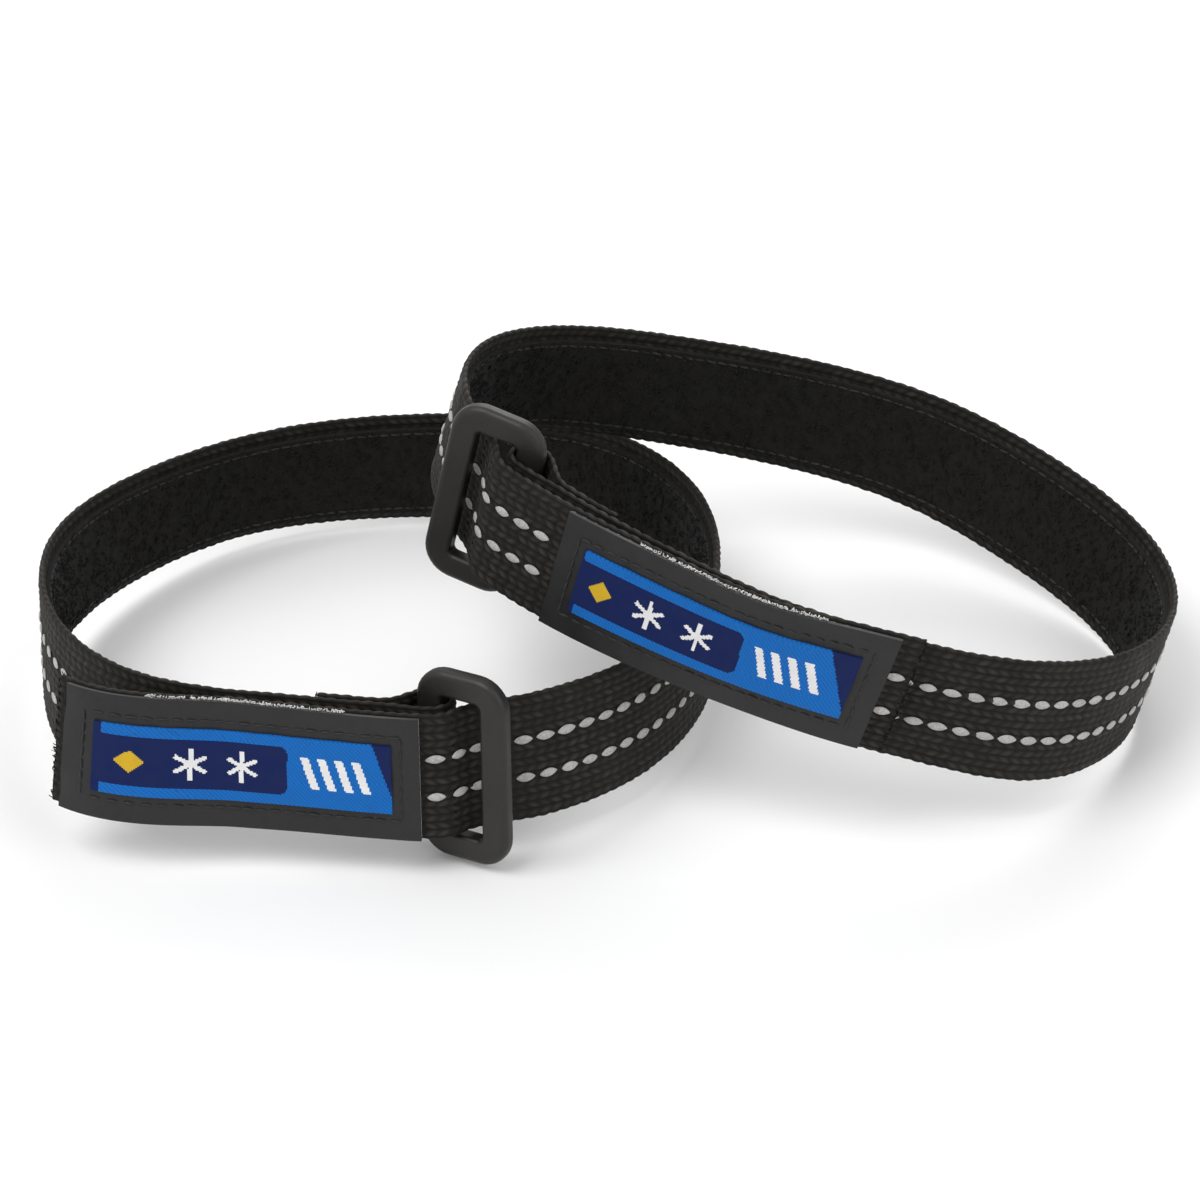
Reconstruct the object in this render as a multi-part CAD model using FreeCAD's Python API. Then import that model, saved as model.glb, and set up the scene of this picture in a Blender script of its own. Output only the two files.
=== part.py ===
"""A pair of hook-and-loop instep straps for slip-on ice cleats, one leaning on the other.

Each strap is one length of webbing with a plain rectangular buckle sewn into one end. The other
end passes inside the buckle's far bar, out through the window, over the sewn bar, and lies back
on the strap as a tab, which carries a patch and a label. The whole inner face is soft loop pile,
and it grips a hook tape under the tab.

Millimetres, +Z up. A place on a strap has three numbers: the distance along the band from its
sewn bar, the distance out from the band's outer face, and the height above its lower edge.
"""
import FreeCAD, Part
import bisect
import math
import os
from dataclasses import dataclass

# ---- webbing and what is sewn to it
WEB_WIDTH = 25.4
WEB_THICK = 1.5
PILE_THICK = 0.9
PILE_LOW, PILE_HIGH = 2.4, 22.4
HOOK_THICK = 0.9
HOOK_LOW, HOOK_HIGH = 2.7, 22.7
HOOK_START = 13.0
HOOK_END_MARGIN = 20.0
YARN_THICK = 0.25
YARN_WIDTH = 1.6
YARN_OFFSET = 3.8
THREAD_THICK = 0.25
THREAD_WIDTH = 0.5
SEAM_INSET = 1.0
TAPE_MARGIN = 1.0
TAB_PILE_MARGIN = 2.0
HOOK_TAPE_THICK = HOOK_THICK - THREAD_THICK

# ---- the sewn end, folded round the buckle's bar
FOLD_LENGTH = 21.0
FOLD_EASE = 10.0
TACK_SETBACK = 4.0
TACK_STITCHES = 9
TACK_LENGTH = 1.9
TACK_PITCH = 2.4

# ---- buckle: an outer rectangle with a window, its two upright bars narrower than its ends
BUCKLE_WIDTH = 18.5
BUCKLE_HEIGHT = 37.3
BUCKLE_THICK = 3.4
BUCKLE_CORNER = 6.0
BAR_WIDTH = 5.2
END_WIDTH = 5.0
WINDOW_CORNER = 1.0
BUCKLE_EDGE = 1.3
WINDOW_EDGE = 0.8
BAR_DEPTH = -3.4
FOLD_RADIUS = 3.0
FOLD_GAP = 0.2

# ---- how the free end climbs out of the window and lies down again: place along, height out
THREADED_PATH = [(-30.0, 0.0), (-20.0, 0.0), (-12.0, -0.1), (-8.6, 0.2), (-5.6, 1.3), (-2.2, 3.5),
                 (1.0, 3.9), (8.0, 3.6), (16.0, 3.5), (24.0, 3.5)]
TAB_BEND = -6.2
TAB_BEND_GAP = 0.5
TAB_CURL_LENGTH = 30.0

# ---- patch and label on the tab
PATCH_LENGTH = 60.0
PATCH_LOW, PATCH_HIGH = 0.5, 24.9
BACKING_THICK = 0.3
PATCH_THICK = 0.8
LABEL_LENGTH = 50.5
LABEL_LOW, LABEL_HIGH = 6.0, 19.5
LABEL_THICK = 0.4
LABEL_SEAM_MARGIN = 1.6

LAY_GAP = 0.04
SAMPLE_STEP = 2.0
STEPS_PER_FACE = 14
TABLE_STEPS = 720


@dataclass
class Shape:
    """How one strap is closed and how it lies.

    radii and leans are the outline of the band's outer face seen from above, at equal turns
    anticlockwise from +X about centre, and the degrees its upper edge leans outward there.
    """
    side: str
    centre: tuple
    radii: list
    leans: list
    run: int
    bar_turn: float
    buckle_swing: float
    window_gap_below: float
    tab_length: float
    tab_end_curl: float
    tab_end_lift: float
    patch_start: float
    rise_per_mm: tuple
    tilt: tuple


LEFT = Shape(side="left", centre=(-41.0, -21.5),
             radii=[64, 64, 62, 55, 52.5, 54.5, 57.8, 64.3, 70.7, 73.5, 65.5, 66.7, 67.5, 65.5],
             leans=[1, 3, 3, 0, -3, -6, -4, -1, -5, -12, -8, -7, -7, -1],
             run=-1, bar_turn=280.0, buckle_swing=33.5, window_gap_below=0.65,
             tab_length=64.5, tab_end_curl=7.5, tab_end_lift=0.3, patch_start=2.4,
             rise_per_mm=(-0.033, -0.0457), tilt=(0.0, 0.0))
RIGHT = Shape(side="right", centre=(49.0, -40.5),
              radii=[57, 59.5, 59, 62, 64.5, 74, 89, 79.5, 57, 42.7, 39.2, 40, 46.5, 51.5],
              leans=[-3, 0, 3, 2, 0, -3, -4, 5, 5.5, 9.5, 4.2, 2.6, -5, -4],
              run=1, bar_turn=187.7, buckle_swing=25.2, window_gap_below=0.9,
              tab_length=79.2, tab_end_curl=0.3, tab_end_lift=3.0, patch_start=15.2,
              rise_per_mm=(0.0, 0.0), tilt=(-1.5, 16.7))


def curve_value(points, place):
    """Smooth value at place on a Catmull-Rom curve through (place, value) points."""
    places = [p[0] for p in points]
    if place <= places[0]:
        return points[0][1]
    if place >= places[-1]:
        return points[-1][1]
    i = bisect.bisect_right(places, place) - 1
    (x0, y0), (x1, y1) = points[i], points[i + 1]
    before = points[max(i - 1, 0)]
    after = points[min(i + 2, len(points) - 1)]
    slope0 = (y1 - before[1]) / (x1 - before[0])
    slope1 = (after[1] - y0) / (after[0] - x0)
    span = x1 - x0
    u = (place - x0) / span
    return ((2 * u**3 - 3 * u**2 + 1) * y0 + (u**3 - 2 * u**2 + u) * span * slope0
            + (3 * u**2 - 2 * u**3) * y1 + (u**3 - u**2) * span * slope1)


def ease(u):
    """Smooth step from 0 to 1."""
    u = min(max(u, 0.0), 1.0)
    return u * u * (3.0 - 2.0 * u)


class Strap:
    """A strap's band as a curved strip: turns places on the strap into points."""

    def __init__(self, shape):
        self.shape = shape
        count = len(shape.radii)
        turns = [2.0 * math.pi * k / count for k in range(count + 1)]
        values = [FreeCAD.Vector(r, lean, 0.0) for r, lean in zip(shape.radii, shape.leans)]
        self.profile = Part.BSplineCurve()
        self.profile.interpolate(Points=values, Parameters=turns, PeriodicFlag=True)
        self.turns = [2.0 * math.pi * k / TABLE_STEPS for k in range(TABLE_STEPS + 1)]
        self.travel = [0.0]
        plan = [self.plan_point(turn)[0] for turn in self.turns]
        for previous, point in zip(plan, plan[1:]):
            self.travel.append(self.travel[-1] + (point - previous).Length)
        self.length = self.travel[-1]
        self.bar_travel = self.travel_at(math.radians(shape.bar_turn))
        along, across = (math.radians(a) for a in shape.tilt)
        self.turned = (FreeCAD.Rotation(FreeCAD.Vector(0, 1, 0), math.degrees(across))
                       * FreeCAD.Rotation(FreeCAD.Vector(1, 0, 0), math.degrees(along)))
        self.floor = 0.0
        lower_edge = [self.at(self.length * k / TABLE_STEPS, 0.0, 0.0).z for k in range(TABLE_STEPS)]
        self.floor = min(lower_edge)

    def plan_point(self, turn):
        """Point, forward direction and lean of the outer face's lower edge, seen from above."""
        value, slope = self.profile.getD1(turn % (2.0 * math.pi))[:2]
        c, s = math.cos(turn), math.sin(turn)
        centre = self.shape.centre
        point = FreeCAD.Vector(centre[0] + value.x * c, centre[1] + value.x * s, 0.0)
        forward = FreeCAD.Vector(slope.x * c - value.x * s, slope.x * s + value.x * c, 0.0)
        return point, forward.normalize(), math.radians(value.y)

    def travel_at(self, turn):
        """Distance round the loop at a turn."""
        place = turn / (2.0 * math.pi) * TABLE_STEPS
        i = int(place)
        return self.travel[i] + (place - i) * (self.travel[i + 1] - self.travel[i])

    def axes(self, along):
        """Origin on the band's lower edge, then the directions along, out and up the band."""
        travel = (self.bar_travel + self.shape.run * along) % self.length
        i = min(bisect.bisect_right(self.travel, travel), TABLE_STEPS) - 1
        part = (travel - self.travel[i]) / (self.travel[i + 1] - self.travel[i])
        point, forward, lean = self.plan_point(self.turns[i] + part * (self.turns[1] - self.turns[0]))
        flat_out = FreeCAD.Vector(forward.y, -forward.x, 0.0)
        up = flat_out * math.sin(lean) + FreeCAD.Vector(0, 0, math.cos(lean))
        out = flat_out * math.cos(lean) - FreeCAD.Vector(0, 0, math.sin(lean))
        centre = FreeCAD.Vector(self.shape.centre[0], self.shape.centre[1], 0.0)
        arm = point - centre
        arm.z = arm.x * self.shape.rise_per_mm[0] + arm.y * self.shape.rise_per_mm[1]
        origin = centre + self.turned.multVec(arm) - FreeCAD.Vector(0, 0, self.floor)
        ahead = self.turned.multVec(forward * self.shape.run)
        return origin, ahead, self.turned.multVec(out), self.turned.multVec(up)

    def at(self, along, out, up):
        """Point at a place on the strap."""
        origin, _, outward, upward = self.axes(along)
        return origin + outward * out + upward * up

    def main_face(self, along):
        """How far out the band's outer face is: it rises over the sewn bar and into the window."""
        over_bar = (BAR_DEPTH + FOLD_RADIUS + WEB_THICK) * (1.0 - ease(along / FOLD_EASE))
        return over_bar + curve_value(THREADED_PATH, along - self.length)

    def fold_face(self, along):
        """The outer face of the folded-back leg, which lies inside the band."""
        at_bar = BAR_DEPTH - FOLD_RADIUS
        inside_band = -WEB_THICK - FOLD_GAP
        return at_bar + (inside_band - at_bar) * ease(along / FOLD_EASE)

    def tab_face(self, along):
        """The outer face of the tab, with its free end standing a little proud."""
        curl = ease((along - self.shape.tab_length + TAB_CURL_LENGTH) / TAB_CURL_LENGTH)
        return curve_value(THREADED_PATH, along) + self.shape.tab_end_curl * curl

    def tab_lift(self, along):
        """How far the tab lies above the band's own height: it drifts up towards its free end."""
        return self.shape.tab_end_lift * max(along, 0.0) / self.shape.tab_length


def smooth_edges(rows, places):
    """One smooth curve through each row of points, cut into short stretches.

    The rows share places, the distance along the strip of each point, so that the faces between
    the curves run straight across the strip. The result has, for each stretch, an edge per row.
    """
    splines = []
    for row in rows:
        spline = Part.BSplineCurve()
        spline.interpolate(Points=row, Parameters=places)
        splines.append(spline)
    faces = math.ceil((len(places) - 1) / STEPS_PER_FACE)
    cuts = [places[round(k * (len(places) - 1) / faces)] for k in range(faces + 1)]
    stretches = []
    for first, last in zip(cuts, cuts[1:]):
        pieces = [spline.copy() for spline in splines]
        for piece in pieces:
            piece.segment(first, last)
        stretches.append([piece.toShape() for piece in pieces])
    return stretches


def around(stretches):
    """The four faces between each stretch's four long edges, taken in order round the strip."""
    return [Part.makeRuledSurface(edges[i], edges[(i + 1) % 4]) for edges in stretches for i in range(4)]


def end_cap(corners):
    """Flat four-sided face that closes a strip's end."""
    return Part.Face(Part.makePolygon(corners + corners[:1]))


def closed_solid(faces):
    """Solid inside faces that meet edge to edge."""
    shell = Part.makeShell(faces)
    shell.sewShape()
    solid = Part.makeSolid(shell)
    if solid.Volume < 0:
        solid.reverse()
    return solid


def level(along):
    """A lift of nothing, or the band's own outer face with no rise."""
    return 0.0


def ribbon(strap, start, end, face, inner, outer, low, high, lift=level):
    """Solid strip along a strap from start to end, between two offsets of face and two heights."""
    corners = [(inner, low), (outer, low), (outer, high), (inner, high)]
    places = spread(start, end)
    rows = [[strap.at(place, face(place) + out, lift(place) + up) for place in places]
            for out, up in corners]
    caps = [end_cap([row[end] for row in rows]) for end in (0, -1)]
    return closed_solid(around(smooth_edges(rows, places)) + caps)


def spread(start, end):
    """Places from start to end: both of them, and between them whole multiples of SAMPLE_STEP.

    Strips that lie on one another are so sampled at the same places, and follow the same curves.
    """
    near = SAMPLE_STEP / 4
    count = math.ceil(end / SAMPLE_STEP)
    marks = [SAMPLE_STEP * k for k in range(math.floor(start / SAMPLE_STEP), count)]
    return [start] + [mark for mark in marks if start + near < mark < end - near] + [end]


def local_placement(origin, x_axis, z_axis):
    """Placement that takes local X and Z to the given directions."""
    rotation = FreeCAD.Rotation(x_axis, z_axis.cross(x_axis), z_axis, "ZXY")
    return FreeCAD.Placement(origin, rotation)


def webbing(strap):
    """The leg sewn back inside, the fold round the sewn bar and the band, in one length."""
    _, ahead, out, _ = strap.axes(0.0)
    leg_places = spread(0.0, FOLD_LENGTH)
    band_places = spread(0.0, strap.length + TAB_BEND - TAB_BEND_GAP)
    corners = [(False, 0.0), (True, 0.0), (True, WEB_WIDTH), (False, WEB_WIDTH)]

    def fold_edge(radius, up):
        """Half circle round the sewn bar, on its window side."""
        middle = strap.at(0.0, BAR_DEPTH, up)
        return Part.Arc(middle - out * radius, middle - ahead * radius, middle + out * radius).toShape()

    leg, fold, band = [], [], []
    for yarn_side, up in corners:
        leg_depth, band_depth, radius = ((WEB_THICK, 0.0, FOLD_RADIUS + WEB_THICK) if yarn_side
                                         else (0.0, WEB_THICK, FOLD_RADIUS))
        leg.append([strap.at(place, strap.fold_face(place) - leg_depth, up) for place in leg_places])
        fold.append(fold_edge(radius, up))
        band.append([strap.at(place, strap.main_face(place) - band_depth, up) for place in band_places])
    faces = around(smooth_edges(leg, leg_places)) + around([fold]) + around(smooth_edges(band, band_places))
    caps = [end_cap([row[-1] for row in leg]), end_cap([row[-1] for row in band])]
    return closed_solid(faces + caps)


def rims(ring, which):
    """Edges of the ring's front and back faces: the outer rims first, then the window's."""
    faces = [f for f in ring.Faces if abs(abs(f.CenterOfMass.y) - BUCKLE_THICK / 2) < 0.01]
    wires = [sorted(f.Wires, key=lambda wire: -wire.BoundBox.DiagonalLength)[which] for f in faces]
    return [e for wire in wires for e in wire.Edges]


def buckle(strap):
    """Moulded rectangular ring, with one upright bar inside the webbing's fold."""
    low = -strap.shape.window_gap_below - END_WIDTH
    box = Part.makeBox(BUCKLE_WIDTH, BUCKLE_THICK, BUCKLE_HEIGHT,
                       FreeCAD.Vector(-BAR_WIDTH / 2, -BUCKLE_THICK / 2, low))
    across = [e for e in box.Edges if abs(e.tangentAt(e.FirstParameter).y) > 0.99]
    ring = box.makeFillet(BUCKLE_CORNER, across)
    window = Part.makeBox(BUCKLE_WIDTH - 2 * BAR_WIDTH, BUCKLE_THICK, BUCKLE_HEIGHT - 2 * END_WIDTH,
                          FreeCAD.Vector(BAR_WIDTH / 2, -BUCKLE_THICK / 2, low + END_WIDTH))
    across = [e for e in window.Edges if abs(e.tangentAt(e.FirstParameter).y) > 0.99]
    ring = ring.cut(window.makeFillet(WINDOW_CORNER, across))
    ring = ring.makeFillet(BUCKLE_EDGE, rims(ring, 0))
    ring = ring.makeFillet(WINDOW_EDGE, rims(ring, 1))
    _, ahead, out, up = strap.axes(0.0)
    swing = math.radians(strap.shape.buckle_swing)
    far_way = out * math.sin(swing) - ahead * math.cos(swing)
    ring.Placement = local_placement(strap.at(0.0, BAR_DEPTH, 0.0), far_way, up)
    return ring


def yarns(strap, face, stretches, row, lift=level):
    """Reflective yarn of one row, lying on the outer face along each open stretch."""
    middle = WEB_WIDTH / 2 + row * YARN_OFFSET
    low, high = middle - YARN_WIDTH / 2, middle + YARN_WIDTH / 2
    solids = [ribbon(strap, start, end, face, LAY_GAP, YARN_THICK, low, high, lift)
              for start, end in stretches]
    return solids[0] if len(solids) == 1 else Part.makeCompound(solids)


def edge_seams(strap, start, end, face, base, low, high):
    """Two rows of thread, one just inside each edge of a sewn-on tape."""
    rows = [low + SEAM_INSET, high - SEAM_INSET - THREAD_WIDTH]
    return Part.makeCompound([ribbon(strap, start, end, face, base, base + THREAD_THICK,
                                     row, row + THREAD_WIDTH) for row in rows])


def bar_tack(strap):
    """A close row of stitches holding the folded-back leg to the band."""
    start = FOLD_LENGTH - TACK_SETBACK
    first = (WEB_WIDTH - (TACK_STITCHES - 1) * TACK_PITCH - TACK_LENGTH) / 2
    sunk = -WEB_THICK - THREAD_THICK
    stitches = []
    for k in range(TACK_STITCHES):
        low = first + k * TACK_PITCH
        stitches.append(ribbon(strap, start, start + THREAD_WIDTH * 2, strap.fold_face, sunk,
                               -WEB_THICK, low, low + TACK_LENGTH))
    return Part.makeCompound(stitches)


def label_seam(strap, start):
    """Stitching in a rectangle round the label."""
    base = BACKING_THICK + PATCH_THICK + LAY_GAP
    end = start + LABEL_LENGTH
    margin = LABEL_SEAM_MARGIN
    first, last = start - margin, end + margin
    low, high = LABEL_LOW - margin, LABEL_HIGH + margin
    top = base + THREAD_THICK
    runs = [(first, last, low - THREAD_WIDTH, low), (first, last, high, high + THREAD_WIDTH),
            (first, first + THREAD_WIDTH, low, high), (last - THREAD_WIDTH, last, low, high)]
    return Part.makeCompound([ribbon(strap, a, b, strap.tab_face, base, top, c, d, strap.tab_lift)
                              for a, b, c, d in runs])


def strap_parts(strap):
    """Every piece of one strap by node name."""
    shape = strap.shape
    face, tab, lift = strap.main_face, strap.tab_face, strap.tab_lift
    pile_start = FOLD_LENGTH + TAPE_MARGIN
    pile_end = strap.length + TAB_BEND - TAB_BEND_GAP
    tab_start = TAB_BEND + TAB_BEND_GAP
    tab_pile_end = shape.tab_length - TAB_PILE_MARGIN
    hook_end = shape.tab_length - HOOK_END_MARGIN
    patch_end = shape.patch_start + PATCH_LENGTH
    label_start = shape.patch_start + (PATCH_LENGTH - LABEL_LENGTH) / 2
    open_main = [(hook_end + TAPE_MARGIN, pile_end)]
    open_tab = [(tab_start, shape.patch_start), (patch_end, shape.tab_length)]
    under = -WEB_THICK - PILE_THICK
    seam = under - THREAD_THICK
    parts = {
        "webbing": webbing(strap),
        "buckle": buckle(strap),
        "pile_tape": ribbon(strap, pile_start, pile_end, face, under, -WEB_THICK, PILE_LOW, PILE_HIGH),
        "pile_stitching": edge_seams(strap, pile_start, pile_end, face, seam, PILE_LOW, PILE_HIGH),
        "bar_tack": bar_tack(strap),
        "hook_tape": ribbon(strap, HOOK_START, hook_end, level, LAY_GAP, HOOK_TAPE_THICK,
                            HOOK_LOW, HOOK_HIGH),
        "hook_stitching": edge_seams(strap, HOOK_START, hook_end, level, HOOK_TAPE_THICK,
                                     HOOK_LOW, HOOK_HIGH),
        "tab_webbing": ribbon(strap, tab_start, shape.tab_length, tab, -WEB_THICK, 0.0, 0.0, WEB_WIDTH,
                              lift),
        "tab_pile_tape": ribbon(strap, tab_start, tab_pile_end, tab, under, -WEB_THICK,
                                PILE_LOW, PILE_HIGH, lift),
        "tab_upper_yarn": yarns(strap, tab, open_tab, 1, lift),
        "tab_lower_yarn": yarns(strap, tab, open_tab, -1, lift),
        "upper_yarn": yarns(strap, face, open_main, 1),
        "lower_yarn": yarns(strap, face, open_main, -1),
        "patch_backing": ribbon(strap, shape.patch_start, patch_end, tab, 0.0, BACKING_THICK,
                                PATCH_LOW, PATCH_HIGH, lift),
        "patch": ribbon(strap, shape.patch_start, patch_end, tab, BACKING_THICK,
                        BACKING_THICK + PATCH_THICK, PATCH_LOW, PATCH_HIGH, lift),
        "label": ribbon(strap, label_start, label_start + LABEL_LENGTH, tab, BACKING_THICK + PATCH_THICK,
                        BACKING_THICK + PATCH_THICK + LABEL_THICK, LABEL_LOW, LABEL_HIGH, lift),
        "label_stitching": label_seam(strap, label_start),
    }
    return {f"{shape.side}_{name}": solid for name, solid in parts.items()}


def build():
    """Both straps' pieces, moved so that the origin is under the middle of the pair."""
    straps = [Strap(LEFT), Strap(RIGHT)]
    parts = {}
    for strap in straps:
        parts.update(strap_parts(strap))
    box = Part.makeCompound(list(parts.values())).optimalBoundingBox(False, False)
    origin = FreeCAD.Vector(box.Center.x, box.Center.y, box.ZMin)
    for solid in parts.values():
        solid.translate(-origin)
    return straps, parts, origin


straps, parts, origin = build()
os.makedirs("parts", exist_ok=True)
for name, solid in parts.items():
    solid.exportStep(f"parts/{name}.step")
print(f"{len(parts)} parts, origin moved from {origin}")
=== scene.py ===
"""Looks for a pair of hook-and-loop instep straps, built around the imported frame.

Each strap is one length of webbing: a sewn-back end round the buckle's bar, the band, and a tab
that comes out through the buckle and lies back on the band with a patch and a woven label.
Sizes are in millimetres until a mesh is made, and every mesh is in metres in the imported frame.
"""

import logging
import math
from collections.abc import Callable
from dataclasses import dataclass
from enum import Enum

import bpy
import numpy as np
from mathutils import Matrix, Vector

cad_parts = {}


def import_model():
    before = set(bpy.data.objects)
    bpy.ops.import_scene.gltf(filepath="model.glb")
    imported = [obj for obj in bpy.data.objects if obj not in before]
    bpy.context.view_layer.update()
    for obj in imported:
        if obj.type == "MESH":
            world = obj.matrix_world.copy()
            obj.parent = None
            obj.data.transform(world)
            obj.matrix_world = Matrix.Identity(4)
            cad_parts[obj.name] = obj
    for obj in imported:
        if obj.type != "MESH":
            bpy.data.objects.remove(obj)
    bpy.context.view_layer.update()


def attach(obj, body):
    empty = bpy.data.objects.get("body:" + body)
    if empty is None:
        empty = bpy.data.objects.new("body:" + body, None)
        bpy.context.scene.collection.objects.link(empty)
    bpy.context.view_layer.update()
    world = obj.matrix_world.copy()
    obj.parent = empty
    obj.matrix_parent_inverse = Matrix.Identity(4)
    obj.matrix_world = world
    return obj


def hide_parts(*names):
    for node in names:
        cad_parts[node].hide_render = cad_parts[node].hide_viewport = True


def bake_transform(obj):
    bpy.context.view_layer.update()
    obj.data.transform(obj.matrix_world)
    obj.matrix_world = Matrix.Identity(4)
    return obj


log = logging.getLogger("straps")

MM = 0.001
FRAME_ORIGIN = np.array([1.934462, -29.924070, -0.000088])

# ---- sizes shared with the frame, in millimetres
WEB_WIDTH = 25.4
WEB_THICK = 1.5
PILE_THICK = 0.9
PILE_LOW, PILE_HIGH = 2.4, 22.4
HOOK_LOW, HOOK_HIGH = 2.7, 22.7
HOOK_START = 13.0
HOOK_END_MARGIN = 20.0
HOOK_TAPE_THICK = 0.65
YARN_OFFSET = 3.8
SEAM_INSET = 1.0
TAPE_MARGIN = 1.0
TAB_PILE_MARGIN = 2.0
FOLD_LENGTH = 21.0
FOLD_EASE = 10.0
FOLD_GAP = 0.2
TACK_SETBACK = 4.0
TACK_STITCHES = 9
TACK_PITCH = 2.4
BUCKLE_WIDTH = 18.5
BUCKLE_HEIGHT = 37.3
BUCKLE_THICK = 3.4
BUCKLE_CORNER = 6.0
BAR_WIDTH = 5.2
END_WIDTH = 5.0
WINDOW_CORNER = 1.0
BUCKLE_EDGE = 1.3
WINDOW_EDGE = 0.8
BAR_DEPTH = -3.4
FOLD_RADIUS = 3.0
THREADED_PATH = ((-30.0, 0.0), (-20.0, 0.0), (-12.0, -0.1), (-8.6, 0.2), (-5.6, 1.3), (-2.2, 3.5),
                 (1.0, 3.9), (8.0, 3.6), (16.0, 3.5), (24.0, 3.5))
TAB_BEND = -6.2
TAB_CURL_LENGTH = 30.0
PATCH_LENGTH = 60.0
PATCH_LOW, PATCH_HIGH = 0.5, 24.9
BACKING_THICK = 0.3
PATCH_THICK = 0.8
LABEL_LENGTH = 50.5
LABEL_LOW, LABEL_HIGH = 6.0, 19.5
LABEL_THICK = 0.4
LABEL_SEAM_MARGIN = 1.6
TABLE_STEPS = 720
PATH_STEP = 0.2


class Side(Enum):
    """Which strap of the pair, and so the first word of its nodes' and bodies' names."""

    LEFT = "left"
    RIGHT = "right"


@dataclass(frozen=True)
class StrapShape:
    """How one strap is closed and how it lies, as in the frame.

    radii and leans are the band's outer face seen from above, at equal turns anticlockwise from
    +X about centre, and the degrees that its upper edge leans outward there.
    """

    side: Side
    centre: tuple
    radii: tuple
    leans: tuple
    run: int
    bar_turn: float
    buckle_swing: float
    window_gap_below: float
    tab_length: float
    tab_end_curl: float
    tab_end_lift: float
    patch_start: float
    dash_phase: float
    rise_per_mm: tuple
    tilt: tuple


LEFT = StrapShape(side=Side.LEFT, centre=(-41.0, -21.5),
                  radii=(64, 64, 62, 55, 52.5, 54.5, 57.8, 64.3, 70.7, 73.5, 65.5, 66.7, 67.5, 65.5),
                  leans=(1, 3, 3, 0, -3, -6, -4, -1, -5, -12, -8, -7, -7, -1),
                  run=-1, bar_turn=280.0, buckle_swing=33.5, window_gap_below=0.65,
                  tab_length=64.5, tab_end_curl=7.5, tab_end_lift=0.3, patch_start=2.4,
                  dash_phase=-0.25, rise_per_mm=(-0.033, -0.0457), tilt=(0.0, 0.0))
RIGHT = StrapShape(side=Side.RIGHT, centre=(49.0, -40.5),
                   radii=(57, 59.5, 59, 62, 64.5, 74, 89, 79.5, 57, 42.7, 39.2, 40, 46.5, 51.5),
                   leans=(-3, 0, 3, 2, 0, -3, -4, 5, 5.5, 9.5, 4.2, 2.6, -5, -4),
                   run=1, bar_turn=187.7, buckle_swing=25.2, window_gap_below=0.9,
                   tab_length=79.2, tab_end_curl=0.3, tab_end_lift=3.0, patch_start=15.2,
                   dash_phase=2.3, rise_per_mm=(0.0, 0.0), tilt=(-1.5, 16.7))


def ease(u: np.ndarray) -> np.ndarray:
    """Smooth step from 0 to 1."""
    u = np.clip(u, 0.0, 1.0)
    return u * u * (3.0 - 2.0 * u)


def curve_value(points: tuple, place: np.ndarray) -> np.ndarray:
    """Values at places on a smooth curve through (place, value) points.

    Args:
        points: the (place, value) pairs, in order.
        place: an array of places.

    Returns:
        An array of values, held level beyond both ends.
    """
    x, y = (np.array(column) for column in zip(*points))
    slopes = np.empty(len(x))
    slopes[1:-1] = (y[2:] - y[:-2]) / (x[2:] - x[:-2])
    slopes[0] = (y[1] - y[0]) / (x[1] - x[0])
    slopes[-1] = (y[-1] - y[-2]) / (x[-1] - x[-2])
    place = np.clip(place, x[0], x[-1])
    i = np.clip(np.searchsorted(x, place, side="right") - 1, 0, len(x) - 2)
    span = x[i + 1] - x[i]
    u = (place - x[i]) / span
    return ((2 * u**3 - 3 * u**2 + 1) * y[i] + (u**3 - 2 * u**2 + u) * span * slopes[i]
            + (3 * u**2 - 2 * u**3) * y[i + 1] + (u**3 - u**2) * span * slopes[i + 1])


class ClosedCurve:
    """Smooth closed curve through values at equal turns."""

    def __init__(self, values: tuple):
        """Solves for the bend at each value, so that the curve is smooth all the way round."""
        self.values = np.array(values, float)
        count = len(self.values)
        self.step = 2.0 * math.pi / count
        system = 4.0 * np.eye(count)
        for k in range(count):
            system[k, (k + 1) % count] = system[k, k - 1] = 1.0
        rise = np.roll(self.values, -1) - 2.0 * self.values + np.roll(self.values, 1)
        self.bends = np.linalg.solve(system, 6.0 * rise / self.step**2)

    def at(self, turn: np.ndarray) -> tuple:
        """Value and slope at an array of turns."""
        place = (turn % (2.0 * math.pi)) / self.step
        i = place.astype(int) % len(self.values)
        j = (i + 1) % len(self.values)
        u = place - place.astype(int)
        v, h = 1.0 - u, self.step
        value = (v * self.values[i] + u * self.values[j]
                 + ((v**3 - v) * self.bends[i] + (u**3 - u) * self.bends[j]) * h * h / 6.0)
        slope = ((self.values[j] - self.values[i]) / h
                 + ((3 * u * u - 1) * self.bends[j] - (3 * v * v - 1) * self.bends[i]) * h / 6.0)
        return value, slope


def unit(vectors: np.ndarray) -> np.ndarray:
    """Vectors scaled to length 1."""
    return vectors / np.linalg.norm(vectors, axis=-1, keepdims=True)


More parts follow.
